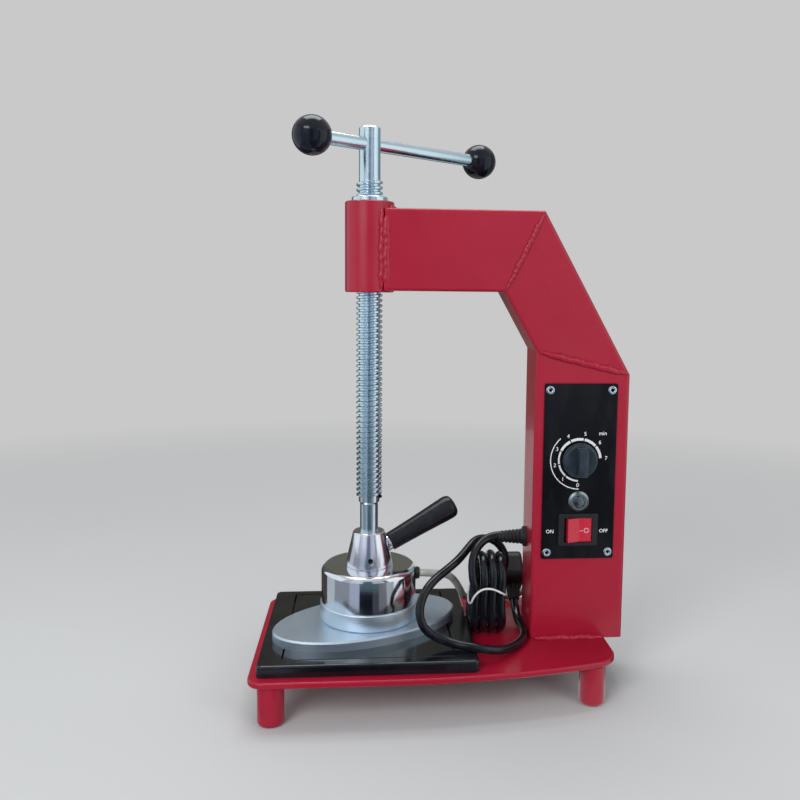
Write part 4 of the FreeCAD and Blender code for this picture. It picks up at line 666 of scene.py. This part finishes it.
for step in range(24):
    angle = lowest + (math.pi / 2 - lowest) * step / 24
    ball_profile.append((ball_r * math.cos(angle), ball_r * math.sin(angle)))
ball_profile.append((0, ball_r))
for name, node, reach in (("ball_near", "bar_ball_near", -52.4),
                          ("ball_far", "bar_ball_far", 118.7)):
    ball = turned(name, ball_profile, 72, 0.0, 40)
    outward = bar_turn if reach > 0 else bar_turn @ Matrix.Rotation(math.pi, 4, "Y")
    put(ball, *polar(reach, bar_angle, bar_z), outward)
    fit(ball, ball_gloss, "bar", "black_gloss", node)

# ---- The panel plate
# A thin black laminate plate is riveted over the column's window. Its white printing
# is screened on: the dial's bars and numbers, min, ON and OFF.
laminate, at = new_finish("black_laminate", (0.002, 0.002, 0.004), Roughness=0.34,
                          Coat_Weight=0.1, Coat_Roughness=0.15, Specular_IOR_Level=0.25)
wipe = at.stretched(1, 1, 0.3).clouds(60, 4).between(0.45, 0.8)
feed(laminate, "Base Color", wipe.mix((0.0015, 0.0015, 0.003), (0.007, 0.007, 0.010)))
feed(laminate, "Roughness", wipe * 0.2 + 0.24)
relief(laminate, at.clouds(900, 2), 0.02, 0.5)
paint(nodes["panel_plate"], laminate)
ink, at = new_finish("white_ink", (0.72, 0.73, 0.74), Roughness=0.5)
thin = at.clouds(700, 3).between(0.35, 0.7)
feed(ink, "Base Color", thin.mix((0.76, 0.77, 0.78), (0.55, 0.56, 0.58)))
panel_x, panel_face, dial_z = 160.6, -20.6, 176.8
ink_thick, ink_proud = 0.04, 0.03
to_front = Matrix.Rotation(math.radians(90), 4, "X")


def lettered(words, size, x, z, bold=0.0):
    """Words printed on the panel, x and z in mm."""
    bpy.ops.object.text_add(location=(0, 0, 0))
    obj = bpy.context.object
    obj.data.body = words
    obj.data.size = size * mm
    obj.data.align_x = "CENTER"
    obj.data.align_y = "CENTER"
    obj.data.offset = bold * mm
    obj.data.extrude = ink_thick / 2 * mm
    alone(obj)
    bpy.ops.object.convert(target="MESH")
    return put(bpy.context.object, x, panel_face - ink_proud, z, to_front)


def inked(obj):
    """Give flat printing the thickness of its ink."""
    film = obj.modifiers.new("ink", "SOLIDIFY")
    film.thickness = ink_thick * mm
    film.offset = 0
    apply_all(obj)


def dial_bar(start, end, radius, wide):
    """A bar printed round the dial, its angles in degrees clockwise from straight down."""
    a = math.radians(start)
    obj = traced("dial_bar", [(-reach * math.sin(a), -reach * math.cos(a))
                              for reach in (radius - wide / 2, radius + wide / 2)])
    bpy.ops.mesh.spin(steps=max(4, int((end - start) / 3)), angle=math.radians(start - end),
                      center=(0, 0, 0), axis=(0, 1, 0))
    bpy.ops.object.mode_set(mode="OBJECT")
    inked(obj)
    all_faces(obj)
    bpy.ops.mesh.normals_make_consistent(inside=False)
    close(obj)
    return put(obj, panel_x, panel_face - ink_proud, dial_z)


marks = []
dial_start, minute, bar_gap = 3, 37.6, 1.6
for number in range(7):
    marks.append(dial_bar(dial_start + number * minute + (bar_gap if number else 0),
                          dial_start + (number + 1) * minute - bar_gap,
                          16.2, 1.35 if number < 3 else 2.0))
marks.append(dial_bar(0, 138, 22.6, 0.7))
for number in range(8):
    angle = math.radians(dial_start + number * minute)
    reach = 19.6 if number < 4 else 20.6
    marks.append(lettered(str(number), 4.2, panel_x - reach * math.sin(angle),
                          dial_z - reach * math.cos(angle), 0.04))
marks.append(lettered("min", 4.2, 178.2, 197.4, 0.05))
marks.append(lettered("ON", 3.9, 138.8, 120.9, 0.05))
marks.append(lettered("OFF", 3.9, 180.9, 121.0, 0.05))
fit(joined("panel_printing", marks), ink, "frame", "panel_black")

# ---- The rivets
# Four zinc plated eyelets go through the panel plate and the column's wall and hold
# the plate. Their heads are rolled over on its face.
eyelet_profile = [(1.2, -3.8), (2.7, -3.8), (2.7, -3.2), (1.9, -3.2), (1.9, 0), (3.25, 0),
                  (3.3, 0.12), (3.1, 0.55), (2.7, 0.82), (2.2, 0.9), (1.7, 0.82),
                  (1.35, 0.55), (1.2, 0.2), (1.2, -3.8)]
eyes = [put(turned("eyelet", eyelet_profile, 40, 0.0, 40), x, panel_face, z, to_front)
        for z in (104.4, 230.8) for x in (136.6, 184.6)]
fit(joined("eyelets", eyes), zinc, "frame", "steel_zinc", "panel_rivets")

# ---- The timer
# A clockwork timer behind the panel is held by its nut. Its knob of dark grey
# phenolic, pushed on the spindle, has a skirt and a bar across it to turn it by.
case_tin, at = new_finish("timer_tinplate", (0.35, 0.36, 0.38), Metallic=0.9, Roughness=0.4)
feed(case_tin, "Base Color", at.clouds(80, 4).mix((0.38, 0.39, 0.41), (0.28, 0.29, 0.31)))
feed(case_tin, "Roughness", at.clouds(300, 3) * 0.2 + 0.3)
paint(nodes["timer_case"], case_tin)
paint(nodes["timer_nut"], zinc)
paint(nodes["timer_spindle"], zinc)
knob_grey, at = new_finish("grey_phenolic", (0.016, 0.026, 0.038), Roughness=0.33, Coat_Weight=0.15,
                           Coat_Roughness=0.15, Specular_IOR_Level=0.35)
feed(knob_grey, "Base Color", at.clouds(120, 4).between(0.4, 0.75).mix((0.013, 0.022, 0.034),
                                                                      (0.028, 0.042, 0.058)))
feed(knob_grey, "Roughness", at.clouds(500, 3) * 0.2 + 0.24)
relief(knob_grey, at.clouds(1300, 2), 0.02)
skirt = turned("knob_skirt", [(8.4, 0.6), (13.2, 0.6), (13.6, 1.0), (13.6, 1.7), (12.9, 4.6),
                              (12.5, 5.2), (11.6, 5.55), (10.6, 5.3), (0, 5.3), (0, 3.4),
                              (8.4, 3.4), (8.4, 0.6)], 96, 0.1)
bpy.ops.mesh.primitive_cube_add(size=1, location=(0, 0, 0))
bar_grip = bpy.context.object
bar_grip.scale = (8.6 * mm, 22.8 * mm, 10.2 * mm)
bpy.ops.object.transform_apply(location=False, rotation=False, scale=True)
put(bar_grip, 0, 0, 10.4)
for vertex in bar_grip.data.vertices:
    if vertex.co.z > 12 * mm:
        vertex.co.x *= 0.80
        vertex.co.y *= 0.94
soften(bar_grip, 1.6, 4)
smooth(bar_grip)
knob = joined("timer_knob_grip", [skirt, bar_grip])
put(knob, panel_x, panel_face, dial_z, to_front)
low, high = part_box("timer_knob")
shift = low.y - min(v.co.y for v in knob.data.vertices)
knob.data.transform(Matrix.Translation((0, max(shift, 0.0), 0)))
fit(knob, knob_grey, "knob", "black_grip", "timer_knob")

# ---- The pilot lamp
# A neon lamp in a nickel plated ring is pressed into the panel. Its clear cap
# is domed over a dark bulb.
nickel, at = new_finish("lamp_nickel", (0.32, 0.37, 0.40), Metallic=1.0, Roughness=0.28)
feed(nickel, "Base Color", at.clouds(240, 3).mix((0.27, 0.32, 0.35), (0.38, 0.43, 0.46)))
feed(nickel, "Roughness", at.clouds(700, 3) * 0.2 + 0.2)
paint(nodes["lamp_body"], nickel)
lens, at = new_finish("lamp_cap", (0.016, 0.022, 0.028), Roughness=0.12, Coat_Weight=0.4,
                      Coat_Roughness=0.05)
feed(lens, "Base Color", at.clouds(300, 3).between(0.4, 0.75).mix((0.008, 0.012, 0.018),
                                                                 (0.10, 0.12, 0.14)))
paint(nodes["lamp_lens"], lens)

# ---- The rocker switch
# A snap-in mains switch: a black nylon frame, and a red translucent rocker that
# tips on two pins, marked I and O.
nylon, at = new_finish("black_nylon", (0.010, 0.009, 0.011), Roughness=0.45, Specular_IOR_Level=0.3)
feed(nylon, "Base Color", at.clouds(200, 3).mix((0.008, 0.007, 0.009), (0.018, 0.016, 0.018)))
relief(nylon, at.clouds(1500, 2), 0.03)
paint(nodes["switch_body"], nylon)
ruby, at = new_finish("red_rocker", (0.50, 0.02, 0.05), Roughness=0.25, Coat_Weight=0.2,
                      Coat_Roughness=0.08, Specular_IOR_Level=0.35)
feed(ruby, "Base Color", at.clouds(160, 3).mix((0.54, 0.022, 0.048), (0.42, 0.012, 0.032)))
feed(ruby, "Roughness", at.clouds(600, 3) * 0.2 + 0.15)
paint(nodes["rocker"], ruby)
faded, at = new_finish("faded_ink", (0.60, 0.34, 0.36), Roughness=0.4)
feed(faded, "Base Color", at.clouds(900, 3).mix((0.66, 0.40, 0.42), (0.46, 0.20, 0.23)))
rocker_face = -21.74
bpy.ops.mesh.primitive_circle_add(vertices=32, radius=2.1 * mm, fill_type="NGON",
                                  location=(0, 0, 0))
ring_mark = bpy.context.object
all_faces(ring_mark)
bpy.ops.mesh.inset(thickness=0.8 * mm)
bpy.ops.mesh.delete(type="FACE")
close(ring_mark)
put(ring_mark, 167.2, rocker_face - ink_proud, 121.8, to_front)
bpy.ops.mesh.primitive_plane_add(size=1, location=(0, 0, 0))
line_mark = bpy.context.object
line_mark.data.transform(Matrix.Diagonal((3.2 * mm, 0.5 * mm, 1, 1)))
put(line_mark, 163.3, rocker_face - ink_proud, 121.6,
    to_front @ Matrix.Rotation(math.radians(11), 4, "Z"))
rocker_marks = joined("rocker_marks", [ring_mark, line_mark])
inked(rocker_marks)
fit(rocker_marks, faded, "rocker", "rocker_face")

# ---- The heater lead
# A grey silicone sheathed cable carries the current from the column to the head,
# slack enough to follow the screw up and to swing with the handle.
lead_grey, at = new_finish("grey_silicone", (0.36, 0.36, 0.33), Roughness=0.5)
feed(lead_grey, "Base Color", at.clouds(120, 4).between(0.35, 0.75).mix((0.40, 0.40, 0.36),
                                                                       (0.26, 0.26, 0.24)))
feed(lead_grey, "Roughness", at.clouds(400, 3) * 0.2 + 0.4)
relief(lead_grey, at.clouds(800, 2), 0.05, 0.6)
heater_points = [(29.84, -3.14, 84.5), (54, -5.68, 84.5), (66, 3, 79), (75.5, 13, 61),
                 (79, 34, 50), (94, 56, 40), (116, 64, 38.2), (131, 62, 39), (152, 60, 60),
                 (152, 48, 100.5), (152, 13.4, 100.5)]
route = laid_line("heater_route", heater_points, 0)
route.data.resolution_u = 16
walked = bpy.data.meshes.new_from_object(route)
line = [v.co.copy() for v in walked.vertices]
bpy.data.meshes.remove(walked)
bpy.data.objects.remove(route)
# The lead is two halves, parted beside the head.
lead_thick = 5.6
parting = Vector((0.0745, 0.0125, 0.0625))
split = min(range(len(line)), key=lambda i: (line[i] - parting).length)
head_line, far_line = line[:split + 1], line[split:]


def sleeved(name, stretch):
    """One half of the lead, along points in metres."""
    obj, spline = wire(name, "POLY", len(stretch), lead_thick / 2 * mm, 5)
    for point, spot in zip(spline.points, stretch):
        point.co = (*spot, 1)
    alone(obj)
    bpy.ops.object.convert(target="MESH")
    obj = bpy.context.object
    smooth(obj, 60)
    paint(obj, lead_grey)
    return obj


lead_head = sleeved("heater_lead_head", head_line)
lead_far = sleeved("heater_lead_column", far_line)
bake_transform(lead_head)
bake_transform(lead_far)
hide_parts("heater_lead")


paint(nodes["lead_bushing"], rubber)
paint(nodes["lead_grommet"], rubber)
paint(nodes["thrust_washer"], zinc)

# ---- The floor and the light
# The press stands on a pale sheet that fades out to the sides, under three soft lamps
# and an even sky. Pale and dark cards, seen by polished surfaces alone, stand round it.
floor_grey, at = new_finish("pale_floor", (0.51, 0.51, 0.51), Roughness=0.9)
feed(floor_grey, "Base Color", at.clouds(3, 2).mix((0.505, 0.505, 0.505), (0.515, 0.515, 0.515)))
bpy.ops.mesh.primitive_circle_add(vertices=96, radius=1.4, fill_type="NGON",
                                  location=(0, 0, 0))
floor = bpy.context.object
floor.name = "floor"
put(floor, 50, 0, 0)
tree = floor_grey.node_tree
shader = tree.nodes["Principled BSDF"]
shader.inputs["Specular IOR Level"].default_value = 0.1
distance = at.node("ShaderNodeVectorMath", {"operation": "LENGTH"}, {0: at}, out=1)
spread = distance.between(0.55, 1.3)
clear = tree.nodes.new("ShaderNodeBsdfTransparent")
fade = tree.nodes.new("ShaderNodeMixShader")
tree.links.new(spread.socket, fade.inputs[0])
tree.links.new(shader.outputs[0], fade.inputs[1])
tree.links.new(clear.outputs[0], fade.inputs[2])
tree.links.new(fade.outputs[0], tree.nodes["Material Output"].inputs["Surface"])
paint(floor, floor_grey)


def lamp(name, spot, target, size, power, tint=(1, 1, 1)):
    """A soft rectangular lamp that stands at a spot and shines at a target, in metres."""
    light = bpy.data.lights.new(name, "AREA")
    light.shape = "RECTANGLE"
    light.size, light.size_y = size
    light.energy = power
    light.color = tint
    obj = bpy.data.objects.new(name, light)
    bpy.context.scene.collection.objects.link(obj)
    way = Vector(target) - Vector(spot)
    obj.matrix_world = (Matrix.Translation(spot)
                        @ way.to_track_quat("-Z", "Y").to_matrix().to_4x4())


lamp("key", (-0.70, -1.15, 0.90), (0.05, 0, 0.15), (0.7, 0.9), 14, (0.96, 0.99, 1))
lamp("side", (0.85, -0.95, 0.50), (0.10, 0, 0.15), (0.5, 0.9), 4.5, (0.97, 1, 1))
lamp("top", (0.0, 0.35, 1.5), (0.05, 0, 0.1), (1.0, 0.7), 10)


def card(name, from_angle, to_angle, shade, low=0.12, high=0.62, away=0.50, near=None):
    """A card that only polished surfaces see: standing, its angles in degrees from the front
    towards +X, and with a strip that lies before it from near to away."""
    paper = bpy.data.materials.new(name)
    paper.use_nodes = True
    shader = paper.node_tree.nodes["Principled BSDF"]
    shader.inputs["Base Color"].default_value = (0, 0, 0, 1)
    shader.inputs["Specular IOR Level"].default_value = 0
    shader.inputs["Emission Color"].default_value = (*shade, 1)
    shader.inputs["Emission Strength"].default_value = 1.0
    bpy.ops.mesh.primitive_plane_add(size=1, location=(0, 0, 0))
    obj = bpy.context.object
    obj.name = name
    ends = [polar(away, angle - 90, 0) for angle in (from_angle, to_angle)]
    for vertex, end, level in zip(obj.data.vertices, ends * 2, (low, low, high, high)):
        vertex.co = (end.x, end.y, level)
    if near:
        # The strip is drawn from the card's lower edge.
        all_faces(obj, "DESELECT")
        bpy.ops.object.mode_set(mode="OBJECT")
        for edge in obj.data.edges:
            edge.select = all(obj.data.vertices[i].co.z < low + 1e-4 for i in edge.vertices)
        bpy.ops.object.mode_set(mode="EDIT")
        bpy.ops.mesh.extrude_edges_move()
        bpy.ops.transform.resize(value=(near / away, near / away, 1), center_override=(0, 0, low))
        bpy.ops.object.mode_set(mode="OBJECT")
    obj.visible_camera = False
    obj.visible_diffuse = False
    obj.visible_shadow = False
    obj.visible_transmission = False
    paint(obj, paper)


for name, start, end, shade in (("dark_left", -160, -112, (0.06, 0.055, 0.05)),
                                ("pale_left", -112, -84, (0.44, 0.49, 0.54)),
                                ("mid_left", -84, -44, (0.24, 0.26, 0.30)),
                                ("lilac_left", -44, -21, (0.34, 0.38, 0.48)),
                                ("dim_front", -21, 22, (0.075, 0.115, 0.15)),
                                ("mid_front", 22, 40, (0.14, 0.15, 0.17)),
                                ("mid_right", 40, 58, (0.34, 0.36, 0.40)),
                                ("pale_right", 58, 82, (0.85, 0.88, 0.92)),
                                ("dark_right", 82, 150, (0.012, 0.014, 0.020))):
    card("low_card_" + name, start, end, shade, low=0.001, high=0.12, near=0.12)
for name, start, end, shade in (("dark_left", -160, -130, (0.10, 0.10, 0.10)),
                                ("pale_left", -130, -64, (0.80, 0.88, 0.92)),
                                ("lilac_left", -64, -14, (0.40, 0.43, 0.53)),
                                ("dark_front", -14, 8, (0.08, 0.12, 0.18)),
                                ("lilac_right", 8, 36, (0.42, 0.45, 0.55)),
                                ("dark_line", 36, 46, (0.08, 0.09, 0.10)),
                                ("pale_right", 46, 95, (0.90, 0.97, 1.0)),
                                ("mid_right", 95, 150, (0.25, 0.30, 0.32))):
    card("high_card_" + name, start, end, shade)
for name, start, end, shade in (("dark", -21, 8, (0.006, 0.008, 0.014)),
                                ("dim", 8, 22, (0.05, 0.055, 0.065))):
    card("near_card_" + name, start, end, shade, low=0.0015, high=0.0016, away=0.41, near=0.11)
card("back_card", 160, 200, (0.13, 0.125, 0.105), low=0.10, away=0.60)
world = bpy.data.worlds.new("sky")
bpy.context.scene.world = world
world.use_nodes = True
sky = world.node_tree
paths = sky.nodes.new("ShaderNodeLightPath").outputs
seen = Tone(sky, paths["Is Camera Ray"])
for ray in ("Is Glossy Ray", "Is Transmission Ray"):
    seen = seen.maths("MAXIMUM", Tone(sky, paths[ray]))
back = sky.nodes["Background"]
sky.links.new(seen.mix((0.50, 0.52, 0.54), (0.584, 0.584, 0.584)).socket, back.inputs["Color"])
back.inputs["Strength"].default_value = 1.0
bpy.context.scene.view_settings.view_transform = "Standard"
